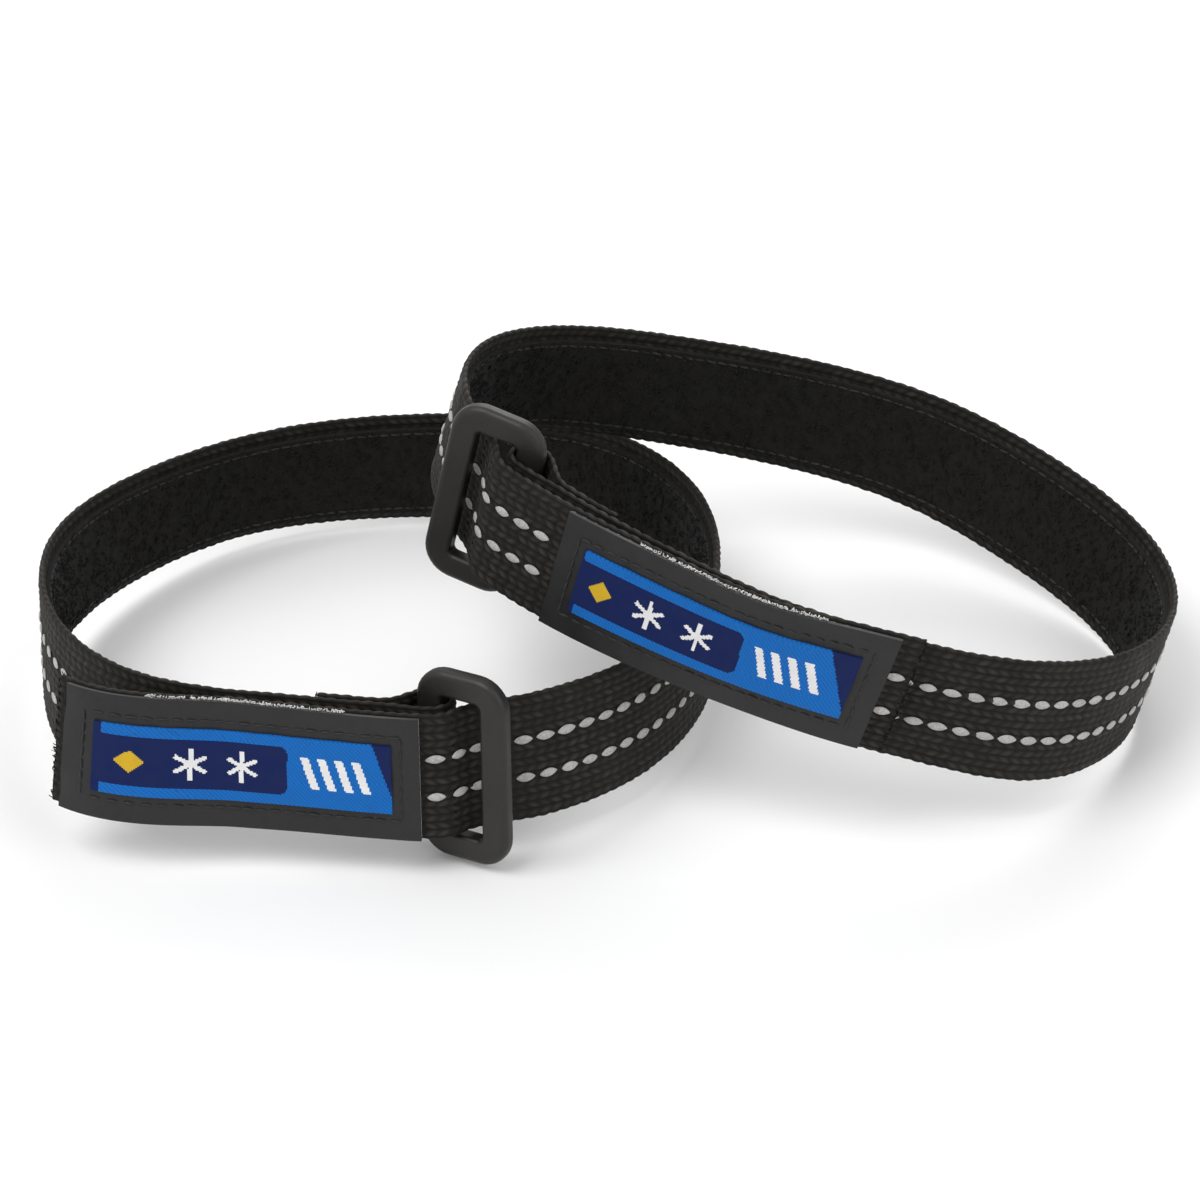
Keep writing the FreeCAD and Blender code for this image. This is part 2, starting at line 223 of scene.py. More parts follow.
class Band:
    """A strap's band as a curved strip: turns places on the strap into points."""

    def __init__(self, shape: StrapShape):
        """Measures the way round the band.

        Args:
            shape: the strap's outline and how it lies.
        """
        self.shape = shape
        self.radius = ClosedCurve(shape.radii)
        self.lean = ClosedCurve(shape.leans)
        self.turns = np.linspace(0.0, 2.0 * math.pi, TABLE_STEPS + 1)
        plan = self.plan(self.turns)[0]
        steps = np.linalg.norm(np.diff(plan, axis=0), axis=1)
        self.travel = np.concatenate([[0.0], np.cumsum(steps)])
        self.length = self.travel[-1]
        self.bar_travel = np.interp(math.radians(shape.bar_turn), self.turns, self.travel)
        pitch, roll = (math.radians(a) for a in shape.tilt)
        about_x = np.array([[1, 0, 0], [0, math.cos(pitch), -math.sin(pitch)],
                            [0, math.sin(pitch), math.cos(pitch)]])
        about_y = np.array([[math.cos(roll), 0, math.sin(roll)], [0, 1, 0],
                            [-math.sin(roll), 0, math.cos(roll)]])
        self.turned = about_y @ about_x
        self.floor = 0.0
        self.floor = self.at(self.length * np.arange(TABLE_STEPS) / TABLE_STEPS, 0.0, 0.0)[:, 2].min()

    def plan(self, turn: np.ndarray) -> tuple:
        """Point, forward direction and lean of the lower edge at an array of turns, from above."""
        radius, slope = self.radius.at(turn)
        c, s = np.cos(turn), np.sin(turn)
        centre = self.shape.centre
        point = np.stack([centre[0] + radius * c, centre[1] + radius * s, 0.0 * c], -1)
        forward = np.stack([slope * c - radius * s, slope * s + radius * c, 0.0 * c], -1)
        return point, unit(forward), np.radians(self.lean.at(turn)[0])

    def axes(self, along: np.ndarray) -> tuple:
        """Origin on the lower edge and the ahead, out and up directions at an array of places."""
        travel = (self.bar_travel + self.shape.run * np.asarray(along, float)) % self.length
        turn = np.interp(travel, self.travel, self.turns)
        point, forward, lean = self.plan(turn)
        flat_out = np.stack([forward[..., 1], -forward[..., 0], 0.0 * lean], -1)
        upright = np.array([0.0, 0.0, 1.0])
        lean = lean[..., None]
        up = flat_out * np.sin(lean) + upright * np.cos(lean)
        out = flat_out * np.cos(lean) - upright * np.sin(lean)
        centre = np.array([*self.shape.centre, 0.0])
        arm = point - centre
        arm[..., 2] = arm[..., 0] * self.shape.rise_per_mm[0] + arm[..., 1] * self.shape.rise_per_mm[1]
        origin = centre + arm @ self.turned.T - upright * self.floor
        ahead, out, up = (d @ self.turned.T for d in (forward * self.shape.run, out, up))
        return origin, ahead, out, up

    def at(self, along: np.ndarray, out: np.ndarray, up: np.ndarray) -> np.ndarray:
        """Points at arrays of places on the strap, in millimetres before the frame's shift."""
        origin, _, outward, upward = self.axes(along)
        return origin + outward * np.asarray(out)[..., None] + upward * np.asarray(up)[..., None]

    def main_face(self, along: np.ndarray) -> np.ndarray:
        """How far out the band's outer face is: it rises over the sewn bar and into the window."""
        over_bar = (BAR_DEPTH + FOLD_RADIUS + WEB_THICK) * (1.0 - ease(along / FOLD_EASE))
        return over_bar + curve_value(THREADED_PATH, along - self.length)

    def fold_face(self, along: np.ndarray) -> np.ndarray:
        """The outer face of the folded-back leg, which lies inside the band."""
        at_bar, inside_band = BAR_DEPTH - FOLD_RADIUS, -WEB_THICK - FOLD_GAP
        return at_bar + (inside_band - at_bar) * ease(along / FOLD_EASE)

    def tab_face(self, along: np.ndarray) -> np.ndarray:
        """The outer face of the tab, with its free end standing a little proud."""
        curl = ease((along - self.shape.tab_length + TAB_CURL_LENGTH) / TAB_CURL_LENGTH)
        return curve_value(THREADED_PATH, along) + self.shape.tab_end_curl * curl

    def tab_lift(self, along: np.ndarray) -> np.ndarray:
        """How far the tab lies above the band's own height: it drifts up towards its free end."""
        return self.shape.tab_end_lift * np.maximum(along, 0.0) / self.shape.tab_length


class StrapPath:
    """The whole length of webbing as one path: leg, fold, band and tab.

    A place on it is the distance from the leg's cut end, measured in the webbing's middle.
    """

    def __init__(self, band: Band):
        """Lays the path out in short steps.

        Args:
            band: the strap's band.
        """
        self.band = band
        half = WEB_THICK / 2.0
        leg = np.arange(FOLD_LENGTH, 0.0, -PATH_STEP)
        main = np.arange(0.0, band.length + TAB_BEND, PATH_STEP)
        tab = np.arange(TAB_BEND, band.shape.tab_length + PATH_STEP, PATH_STEP)
        _, ahead, out, up = band.axes(0.0)
        turn = np.arange(0.0, math.pi, PATH_STEP / (FOLD_RADIUS + half))[1:, None]
        fold = (band.at(0.0, BAR_DEPTH, 0.0)
                - (out * np.cos(turn) + ahead * np.sin(turn)) * (FOLD_RADIUS + half))
        level = 0.0 * leg
        points = [band.at(leg, band.fold_face(leg) - half, level), fold,
                  band.at(main, band.main_face(main) - half, 0.0 * main),
                  band.at(tab, band.tab_face(tab) - half, band.tab_lift(tab))]
        ups = [band.axes(leg)[3], np.repeat(up[None], len(fold), 0), band.axes(main)[3],
               band.axes(tab)[3]]
        self.middle = np.concatenate(points) - FRAME_ORIGIN
        self.up = np.concatenate(ups)
        steps = np.linalg.norm(np.diff(self.middle, axis=0), axis=1)
        self.place = np.concatenate([[0.0], np.cumsum(steps)])
        self.ahead = unit(np.gradient(self.middle, self.place, axis=0))
        self.out = unit(np.cross(self.ahead, self.up)) * band.shape.run
        first_main = len(leg) + len(fold)
        first_tab = first_main + len(main)
        self.main = (main, self.place[first_main:first_tab])
        self.tab = (tab, self.place[first_tab:])
        self.bar_place = self.place[first_main]
        self.length = self.place[-1]

    def main_place(self, along: np.ndarray) -> np.ndarray:
        """Place on the path of a distance along the band from the sewn bar."""
        return np.interp(along, *self.main)

    def tab_place(self, along: np.ndarray) -> np.ndarray:
        """Place on the path of a distance along the tab from the sewn bar."""
        return np.interp(along, *self.tab)

    def axes(self, place: np.ndarray) -> tuple:
        """Middle of the lower edge and the ahead, out and up directions at places on the path."""
        return tuple(np.stack([np.interp(place, self.place, values[:, k]) for k in range(3)], -1)
                     for values in (self.middle, self.ahead, self.out, self.up))

    def at(self, place: np.ndarray, out: np.ndarray, up: np.ndarray) -> np.ndarray:
        """Points in millimetres at places on the path, out from the webbing's middle, and up it."""
        middle, _, outward, upward = self.axes(place)
        return middle + outward * np.asarray(out)[..., None] + upward * np.asarray(up)[..., None]


# ---- looks, in millimetres unless said otherwise
RIBS = 16
RIB_SAMPLES = 4
EDGE_SAMPLES = 6
HIDDEN_RIBS = range(2, 14)
ROW_STEP = 0.42
DASH_PITCH = 4.5
BUMPS_PER_DASH = 2
BUMP_HEIGHT = 0.34
BUMP_SLANT = 0.75
BUMP_VARIATION = 0.45
DASH_SIZE = (3.6, 1.75, 0.62)
SLEEVE = (-9.2, -3.2)
PILE_CELL = 0.8
PILE_ROUGH = 0.3
TUFTS_PER_CELL = 1.0
HOOK_PITCH = 1.1
STITCH_PITCH = 2.4
STITCH_SIZE = (2.1, 0.5, 0.4)
PATCH_CELL = 1.0
LABEL_CELL = 0.28
LABEL_PANEL = 0.62
TUFT_SINK = 0.15
TUFT_INSET = 0.3
HOOK_INSET = 1.6
DASH_SINK = 0.12
DASH_END_GAP = 0.6
PATCH_CELL_UP = 0.5
BACKING_INSET = 0.4
FIBRE_SPAN = (0.22, 0.8)
FIBRES_PER_MM = 5
LABEL_SUNK = 0.3
FRAY_COUNT = 170
FRAY_INSET = 0.4
FRAY_SINK = 0.3
NEAREST_GUESSES = 200
SHARP_ANGLE = math.radians(60.0)


# ---- webbing

@dataclass(frozen=True)
class Section:
    """The webbing's outline across it, as samples in order round it.

    out and up place each sample, normal_out and normal_up say which way its bump swells, rib is
    its place counted in ribs and shown is 0 where the pile tape hides the weave.
    """

    out: np.ndarray
    up: np.ndarray
    normal_out: np.ndarray
    normal_up: np.ndarray
    rib: np.ndarray
    shown: np.ndarray
    girth: np.ndarray


def webbing_section() -> Section:
    """Samples round the webbing: up its outer face, over an edge, down its inner face and back."""
    half = WEB_THICK / 2.0 - BUMP_HEIGHT
    inset = WEB_THICK / 2.0
    span = WEB_WIDTH - 2.0 * inset
    face = np.arange(RIBS * RIB_SAMPLES) / RIB_SAMPLES
    seen = [rib for rib in range(RIBS) if rib not in HIDDEN_RIBS]
    fine = np.add.outer(seen, np.arange(RIB_SAMPLES) / RIB_SAMPLES).ravel()
    inner = np.sort(np.concatenate([fine, HIDDEN_RIBS[::3]]))
    turn = np.arange(EDGE_SAMPLES) / EDGE_SAMPLES
    c, s = np.cos(math.pi * turn), np.sin(math.pi * turn)
    flat, ones = 0.0 * face, np.ones(len(face))
    out = np.concatenate([half * ones, half * c, -half * np.ones(len(inner)), -half * c])
    up = np.concatenate([inset + span * face / RIBS, WEB_WIDTH - inset + half * s,
                         WEB_WIDTH - inset - span * inner / RIBS, inset - half * s])
    normal_out = np.concatenate([ones, c, -np.ones(len(inner)), -c])
    normal_up = np.concatenate([flat, s, 0.0 * inner, -s])
    rib = np.concatenate([face, RIBS + turn, RIBS + 1 + inner, 2 * RIBS + 1 + turn])
    hidden = np.isin(np.floor(inner), list(HIDDEN_RIBS))
    shown = np.concatenate([ones, np.ones(len(turn)), np.where(hidden, 0.0, 1.0), np.ones(len(turn))])
    steps = np.hypot(np.diff(out, append=out[0]), np.diff(up, append=up[0]))
    girth = np.concatenate([[0.0], np.cumsum(steps)])
    return Section(out, up, normal_out, normal_up, rib, shown, girth)


def weave_height(place: np.ndarray, section: Section) -> np.ndarray:
    """How far the yarns swell out at places along the webbing, from 0 to 1.

    Each rib is a column of slanted bumps, and neighbouring ribs slant opposite ways.
    """
    rib = np.floor(section.rib)
    across = section.rib - rib
    slant = np.where(rib % 2 == 0, BUMP_SLANT, -BUMP_SLANT)
    bumps = place[:, None] / (DASH_PITCH / BUMPS_PER_DASH) + slant * (across - 0.5)
    swell = np.abs(np.sin(math.pi * bumps)) ** 0.7 * np.sin(math.pi * across) ** 0.7
    uneven = np.sin(12.9898 * np.floor(bumps) + 78.233 * rib) * 43758.5453
    return swell * section.shown * (1.0 - BUMP_VARIATION * (uneven - np.floor(uneven)))


def tube_mesh(name: str, rings: np.ndarray, travel: np.ndarray, girth: np.ndarray,
              relief: np.ndarray) -> bpy.types.Mesh:
    """Closed mesh through rings of points, with its ends filled.

    Args:
        name: the mesh's name.
        rings: points in millimetres, rings by samples by three.
        travel: how far along each ring is, in millimetres.
        girth: how far round each sample is, with the whole way round last.
        relief: 0 to 1 per point, kept as the attribute "relief".

    Returns:
        The mesh, in metres, with UVs in centimetres along and round.
    """
    count, samples = rings.shape[:2]
    i, j = (a.ravel() for a in np.meshgrid(np.arange(count - 1), np.arange(samples), indexing="ij"))
    k = (j + 1) % samples
    quads = np.stack([i * samples + j, i * samples + k, (i + 1) * samples + k, (i + 1) * samples + j], 1)
    along = np.stack([travel[i], travel[i], travel[i + 1], travel[i + 1]], 1)
    around = np.stack([girth[j], girth[j + 1], girth[j + 1], girth[j]], 1)
    middles = rings[[0, -1]].mean(1)
    points = np.concatenate([rings.reshape(-1, 3), middles])
    j = np.arange(samples)
    k = (j + 1) % samples
    first, last = count * samples, (count - 1) * samples
    caps = np.concatenate([np.stack([k, j, 0 * j + first], 1),
                           np.stack([last + j, last + k, 0 * j + first + 1], 1)])
    if enclosed(points, quads) < 0.0:
        quads, along, around, caps = (a[:, ::-1] for a in (quads, along, around, caps))
    mesh = bpy.data.meshes.new(name)
    mesh.from_pydata((points * MM).tolist(), [], quads.tolist() + caps.tolist())
    uv = np.zeros((quads.size + caps.size, 2))
    uv[:quads.size] = np.stack([along.ravel(), around.ravel()], 1) / 10.0
    uv[quads.size:, 0] = travel[0] / 10.0
    mesh.uv_layers.new(name="UVMap").data.foreach_set("uv", uv.ravel())
    values = np.concatenate([relief.ravel(), [0.0, 0.0]])
    mesh.attributes.new("relief", "FLOAT", "POINT").data.foreach_set("value", values)
    mesh.shade_smooth()
    mesh.set_sharp_from_angle(angle=SHARP_ANGLE)
    return mesh


def enclosed(points: np.ndarray, quads: np.ndarray) -> float:
    """Six times the volume that the quads close in, negative when they face inwards."""
    a, b, c, d = (points[quads[:, n]] for n in range(4))
    return float(np.sum(np.cross(a, b) * c) + np.sum(np.cross(a, c) * d))


def webbing_mesh(name: str, path: StrapPath, start: float, end: float,
                 phase: float) -> bpy.types.Mesh:
    """Woven webbing from start to end on the path, with the weave in step with phase."""
    section = webbing_section()
    places = np.linspace(start, end, math.ceil((end - start) / ROW_STEP) + 1)
    height = weave_height(places - phase, section)
    swell = height * BUMP_HEIGHT
    middle, _, outward, upward = path.axes(places)
    out = section.out + section.normal_out * swell
    up = section.up + section.normal_up * swell
    rings = (middle[:, None] + outward[:, None] * out[..., None] + upward[:, None] * up[..., None])
    # the relief is the weave's height, which the webbing's material turns into painted shade in the hollows
    return tube_mesh(name, rings, places, section.girth, height**1.6)


def tape_mesh(name: str, path: StrapPath, places: np.ndarray, low: float, high: float, base: float,
              top: float, cell: float, rough: Callable) -> bpy.types.Mesh:
    """A sewn-on layer lying on the webbing.

    Args:
        name: the mesh's name.
        path: the strap's path.
        places: where its rows are on the path.
        low, high: its lower and upper edge, up the webbing.
        base, top: how far its two faces are from the webbing's middle.
        cell: the spacing of its samples across.
        rough: a function of places and heights that gives how far its face is raised, per sample.

    Returns:
        The mesh.
    """
    samples = max(2, round((high - low) / cell) + 1)
    up = np.linspace(low, high, samples)
    lifted = rough(places[:, None] + 0.0 * up, up + 0.0 * places[:, None])
    middle, _, outward, upward = path.axes(places)
    out = np.concatenate([top + lifted, base + 0.0 * lifted[:, :2]], 1)
    heights = np.concatenate([up, [high, low]])
    rings = (middle[:, None] + outward[:, None] * out[..., None]
             + upward[:, None] * heights[:, None])
    girth = np.concatenate([up - low, [high - low + abs(top - base), 2 * (high - low) + abs(top - base),
                                       2 * (high - low + abs(top - base))]])
    relief = np.concatenate([lifted, 0.0 * lifted[:, :2]], 1)
    return tube_mesh(name, rings, places, girth, relief)


def rows(start: float, end: float, step: float) -> np.ndarray:
    """Evenly spaced places from start to end, about step apart."""
    return np.linspace(start, end, max(2, math.ceil((end - start) / step) + 1))


# ---- repeated pieces, laid out by Geometry Nodes

def node(tree: bpy.types.NodeTree, kind: str, inputs: dict | None = None, **settings) -> bpy.types.Node:
    """Adds a node, sets its settings and sets or links its inputs.

    Args:
        tree: the node tree.
        kind: the node's type.
        inputs: values or sockets by input name or number.
        settings: the node's own properties.

    Returns:
        The node.
    """
    made = tree.nodes.new(kind)
    for key, value in settings.items():
        setattr(made, key, value)
    for key, value in (inputs or {}).items():
        if isinstance(value, bpy.types.NodeSocket):
            tree.links.new(value, made.inputs[key])
        else:
            made.inputs[key].default_value = value
    return made


@dataclass(frozen=True)
class Grain:
    """One kind of repeated small piece: a pointed bead, or a hooked fibre.

    size is its length, width and thickness for a bead, and its height, reach and radius for a
    fibre. jitter is the share by which its size varies, and turn how far it is turned at random.
    """

    name: str
    bead: bool
    size: tuple
    point: float
    jitter: float
    turn: float
    detail: int


DASH = Grain("dash", True, DASH_SIZE, 0.3, 0.08, 0.08, 12)
STITCH = Grain("stitch", True, STITCH_SIZE, 0.0, 0.08, 0.12, 6)
TUFT = Grain("tuft", False, (0.85, 0.7, 0.11), 0.0, 0.4, math.pi, 3)
HOOK = Grain("hook", False, (1.0, 0.45, 0.11), 0.0, 0.15, 0.5, 3)
FRAY = Grain("fray", False, (0.8, 0.5, 0.1), 0.0, 0.5, 1.2, 3)
FIBRE = Grain("fibre", False, (0.5, 0.3, 0.09), 0.0, 0.5, math.pi, 3)


def grain_tree(grain: Grain) -> bpy.types.NodeTree:
    """Geometry Nodes tree that sets one small piece on each point, by its two directions.

    Args:
        grain: the kind of piece.

    Returns:
        The tree, with the inputs Length, Width, Thickness, Point, Jitter, Turn, Seed and Material.
    """
    tree = bpy.data.node_groups.new(f"lay_{grain.name}", "GeometryNodeTree")
    tree.interface.new_socket("Geometry", in_out="INPUT", socket_type="NodeSocketGeometry")
    for label in ("Length", "Width", "Thickness", "Point", "Jitter", "Turn"):
        tree.interface.new_socket(label, in_out="INPUT", socket_type="NodeSocketFloat")
    tree.interface.new_socket("Seed", in_out="INPUT", socket_type="NodeSocketInt")
    tree.interface.new_socket("Material", in_out="INPUT", socket_type="NodeSocketMaterial")
    tree.interface.new_socket("Geometry", in_out="OUTPUT", socket_type="NodeSocketGeometry")
    given = node(tree, "NodeGroupInput").outputs
    piece = bead_piece(tree, given, grain) if grain.bead else fibre_piece(tree, given, grain)
    ahead = node(tree, "GeometryNodeInputNamedAttribute", {"Name": "ahead"}, data_type="FLOAT_VECTOR")
    outward = node(tree, "GeometryNodeInputNamedAttribute", {"Name": "outward"}, data_type="FLOAT_VECTOR")
    stood = node(tree, "FunctionNodeAlignRotationToVector", {"Vector": outward.outputs[0]}, axis="Z")
    faced = node(tree, "FunctionNodeAlignRotationToVector",
                 {"Rotation": stood.outputs[0], "Vector": ahead.outputs[0]}, axis="X", pivot_axis="Z")
    least = node(tree, "ShaderNodeMath", {0: 0.0, 1: given["Turn"]}, operation="SUBTRACT")
    angle = node(tree, "FunctionNodeRandomValue",
                 {2: least.outputs[0], 3: given["Turn"], "Seed": given["Seed"]}, data_type="FLOAT")
    spin = node(tree, "FunctionNodeAxisAngleToRotation", {"Axis": (0.0, 0.0, 1.0), "Angle": angle.outputs[1]})
    turned = node(tree, "FunctionNodeRotateRotation",
                  {"Rotation": faced.outputs[0], "Rotate By": spin.outputs[0]}, rotation_space="LOCAL")
    small = node(tree, "ShaderNodeMath", {0: 1.0, 1: given["Jitter"]}, operation="SUBTRACT")
    large = node(tree, "ShaderNodeMath", {0: 1.0, 1: given["Jitter"]}, operation="ADD")
    size = node(tree, "FunctionNodeRandomValue",
                {0: small.outputs[0], 1: large.outputs[0], "Seed": given["Seed"]}, data_type="FLOAT_VECTOR")
    placed = node(tree, "GeometryNodeInstanceOnPoints",
                  {"Points": given["Geometry"], "Instance": piece, "Rotation": turned.outputs[0],
                   "Scale": size.outputs[0]})
    real = node(tree, "GeometryNodeRealizeInstances", {"Geometry": placed.outputs[0]})
    smooth = node(tree, "GeometryNodeSetShadeSmooth", {"Geometry": real.outputs[0]})
    done = node(tree, "GeometryNodeSetMaterial",
                {"Geometry": smooth.outputs[0], "Material": given["Material"]})
    node(tree, "NodeGroupOutput", {"Geometry": done.outputs[0]})
    return tree


def bead_piece(tree: bpy.types.NodeTree, given: bpy.types.bpy_prop_collection,
               grain: Grain) -> bpy.types.NodeSocket:
    """Nodes for a rounded bead lying along X, with its ends drawn to points by Point."""
    ball = node(tree, "GeometryNodeMeshUVSphere",
                {"Segments": grain.detail, "Rings": grain.detail, "Radius": 1.0})
    laid = node(tree, "GeometryNodeTransform",
                {"Geometry": ball.outputs[0], "Rotation": (0.0, math.pi / 2.0, 0.0)})
    place = node(tree, "ShaderNodeSeparateXYZ", {0: node(tree, "GeometryNodeInputPosition").outputs[0]})
    square = node(tree, "ShaderNodeMath", {0: place.outputs[0], 1: place.outputs[0]}, operation="MULTIPLY")
    rest = node(tree, "ShaderNodeMath", {0: 1.001, 1: square.outputs[0]}, operation="SUBTRACT")
    slim = node(tree, "ShaderNodeMath", {0: rest.outputs[0], 1: given["Point"]}, operation="POWER")
    y = node(tree, "ShaderNodeMath", {0: place.outputs[1], 1: slim.outputs[0]}, operation="MULTIPLY")
    z = node(tree, "ShaderNodeMath", {0: place.outputs[2], 1: slim.outputs[0]}, operation="MULTIPLY")
    drawn = node(tree, "ShaderNodeCombineXYZ", {0: place.outputs[0], 1: y.outputs[0], 2: z.outputs[0]})
    size = node(tree, "ShaderNodeCombineXYZ",
                {0: given["Length"], 1: given["Width"], 2: given["Thickness"]})
    half = node(tree, "ShaderNodeVectorMath", {0: size.outputs[0], 1: (0.5, 0.5, 0.5)}, operation="MULTIPLY")
    scaled = node(tree, "ShaderNodeVectorMath", {0: drawn.outputs[0], 1: half.outputs[0]},
                  operation="MULTIPLY")
    shaped = node(tree, "GeometryNodeSetPosition",
                  {"Geometry": laid.outputs[0], "Position": scaled.outputs[0]})
    return shaped.outputs[0]


def fibre_piece(tree: bpy.types.NodeTree, given: bpy.types.bpy_prop_collection,
                grain: Grain) -> bpy.types.NodeSocket:
    """Nodes for a bent fibre: Length high, Width of reach to one side and Thickness in radius."""
    top = node(tree, "ShaderNodeCombineXYZ", {0: 0.0, 1: 0.0, 2: given["Length"]})
    droop = node(tree, "ShaderNodeMath", {0: given["Length"], 1: 0.7}, operation="MULTIPLY")
    tip = node(tree, "ShaderNodeCombineXYZ", {0: given["Width"], 1: 0.0, 2: droop.outputs[0]})
    bow = node(tree, "GeometryNodeCurveQuadraticBezier",
               {"Resolution": grain.detail, "Start": (0.0, 0.0, 0.0), "Middle": top.outputs[0],
                "End": tip.outputs[0]})
    wire = node(tree, "GeometryNodeCurvePrimitiveCircle", {"Resolution": 3, "Radius": given["Thickness"]})
    made = node(tree, "GeometryNodeCurveToMesh",
                {"Curve": bow.outputs[0], "Profile Curve": wire.outputs[0], "Fill Caps": True})
    return made.outputs[0]


def lay_grains(name: str, grain: Grain, points: np.ndarray, ahead: np.ndarray, outward: np.ndarray,
               material: bpy.types.Material, seed: int) -> bpy.types.Object:
    """Mesh of many small pieces, made by a Geometry Nodes modifier and kept as a plain mesh.

    Args:
        name: the object's name.
        grain: the kind of piece.
        points: where they are, in millimetres.
        ahead, outward: the two directions that each is set by.
        material: their material.
        seed: the fixed seed of their variation.

    Returns:
        The object, without its modifier.
    """
    mesh = bpy.data.meshes.new(name)
    mesh.from_pydata((points * MM).tolist(), [], [])
    for label, values in (("ahead", ahead), ("outward", outward)):
        layer = mesh.attributes.new(label, "FLOAT_VECTOR", "POINT")
        layer.data.foreach_set("vector", np.ascontiguousarray(values, dtype=float).ravel())
    made = bpy.data.objects.new(name, mesh)
    bpy.context.collection.objects.link(made)
    tree = bpy.data.node_groups.get(f"lay_{grain.name}") or grain_tree(grain)
    modifier = made.modifiers.new("lay", "NODES")
    modifier.node_group = tree
    length, width, thickness = (d * MM for d in grain.size)
    values = {"Length": length, "Width": width, "Thickness": thickness, "Point": grain.point,
              "Jitter": grain.jitter, "Turn": grain.turn, "Seed": seed, "Material": material}
    for socket in tree.interface.items_tree:
        if socket.name in values and socket.in_out == "INPUT":
            modifier[socket.identifier] = values[socket.name]
    graph = bpy.context.evaluated_depsgraph_get()
    plain = bpy.data.meshes.new_from_object(made.evaluated_get(graph))
    made.modifiers.clear()
    made.data = plain
    plain.name = name
    bpy.data.meshes.remove(mesh)
    return made


# ---- materials

@dataclass(frozen=True)
class Finish:
    """How one material looks.

    colour and shade are its raised and its hollow colour; where the relief sets their mix they are
    painted highlight on the raised tops and painted shade in the hollows, and elsewhere only random
    mottling. grain is how fine its mottling is, bump how deep that goes and streak how it is drawn
    out along each axis.
    """

    name: str
    colour: tuple
    shade: tuple
    roughness: float
    sheen: float
    grain: float
    bump: float
    streak: tuple = (1.0, 1.0, 1.0)
    specular: float = 0.5


# raised and hollow colours are lit and shaded tones of one yarn: painted highlight on the bump tops, painted
# shade in the hollows
WEBBING = Finish("webbing", (0.046, 0.039, 0.031), (0.0016, 0.0014, 0.0012), 0.7, 0.02, 14.0, 0.35,
                 (2.0, 14.0, 1.0), 0.22)
PILE = Finish("loop_pile", (0.012, 0.011, 0.010), (0.003, 0.003, 0.003), 0.9, 0.03, 900.0, 0.5,
              specular=0.15)
HOOKS = Finish("hook_tape", (0.012, 0.012, 0.012), (0.004, 0.004, 0.004), 0.6, 0.0, 900.0, 0.3,
               specular=0.3)
THREAD = Finish("black_thread", (0.020, 0.020, 0.021), (0.006, 0.006, 0.006), 0.55, 0.02, 2500.0, 0.3,
                specular=0.3)
YARN = Finish("reflective_yarn", (0.44, 0.43, 0.42), (0.13, 0.125, 0.12), 0.45, 0.02, 2200.0, 0.6,
              specular=0.3)
PLASTIC = Finish("buckle_plastic", (0.014, 0.0125, 0.011), (0.0085, 0.0075, 0.0065), 0.45, 0.0, 1400.0,
                 0.18, specular=0.4)
BACKING = Finish("white_backing", (0.70, 0.70, 0.69), (0.35, 0.35, 0.35), 0.8, 0.0, 1500.0, 0.3,
                 specular=0.2)
SHEET = Finish("patch_sheet", (0.013, 0.0125, 0.013), (0.008, 0.008, 0.008), 0.5, 0.0, 900.0, 0.12,
               specular=0.35)
LABEL = Finish("woven_label", (1.0, 1.0, 1.0), (0.6, 0.6, 0.6), 0.7, 0.0, 40.0, 0.3,
               (6.0, 1.0, 1.0), 0.2)
FLOOR = Finish("studio_floor", (0.80, 0.80, 0.80), (0.78, 0.78, 0.78), 0.85, 0.0, 3.0, 0.0)


def grain_group() -> bpy.types.NodeTree:
    """Shared shader group: coarse and fine mottling of any surface.

    Returns:
        The group, with inputs Vector, Scale and Stretch, and outputs Fine and Coarse.
    """
    group = bpy.data.node_groups.new("fine_and_coarse_grain", "ShaderNodeTree")
    group.interface.new_socket("Vector", in_out="INPUT", socket_type="NodeSocketVector")
    group.interface.new_socket("Scale", in_out="INPUT", socket_type="NodeSocketFloat")
    group.interface.new_socket("Stretch", in_out="INPUT", socket_type="NodeSocketVector")
    group.interface.new_socket("Fine", in_out="OUTPUT", socket_type="NodeSocketFloat")
    group.interface.new_socket("Coarse", in_out="OUTPUT", socket_type="NodeSocketFloat")
    given = node(group, "NodeGroupInput").outputs
    drawn = node(group, "ShaderNodeVectorMath", {0: given["Vector"], 1: given["Stretch"]},
                 operation="MULTIPLY")
    fine = node(group, "ShaderNodeTexNoise",
                {"Vector": drawn.outputs[0], "Scale": given["Scale"], "Detail": 4.0, "Roughness": 0.65})
    wide = node(group, "ShaderNodeMath", {0: given["Scale"], 1: 0.08}, operation="MULTIPLY")
    coarse = node(group, "ShaderNodeTexNoise",
                  {"Vector": given["Vector"], "Scale": wide.outputs[0], "Detail": 3.0})
    node(group, "NodeGroupOutput", {"Fine": fine.outputs["Fac"], "Coarse": coarse.outputs["Fac"]})
    return group


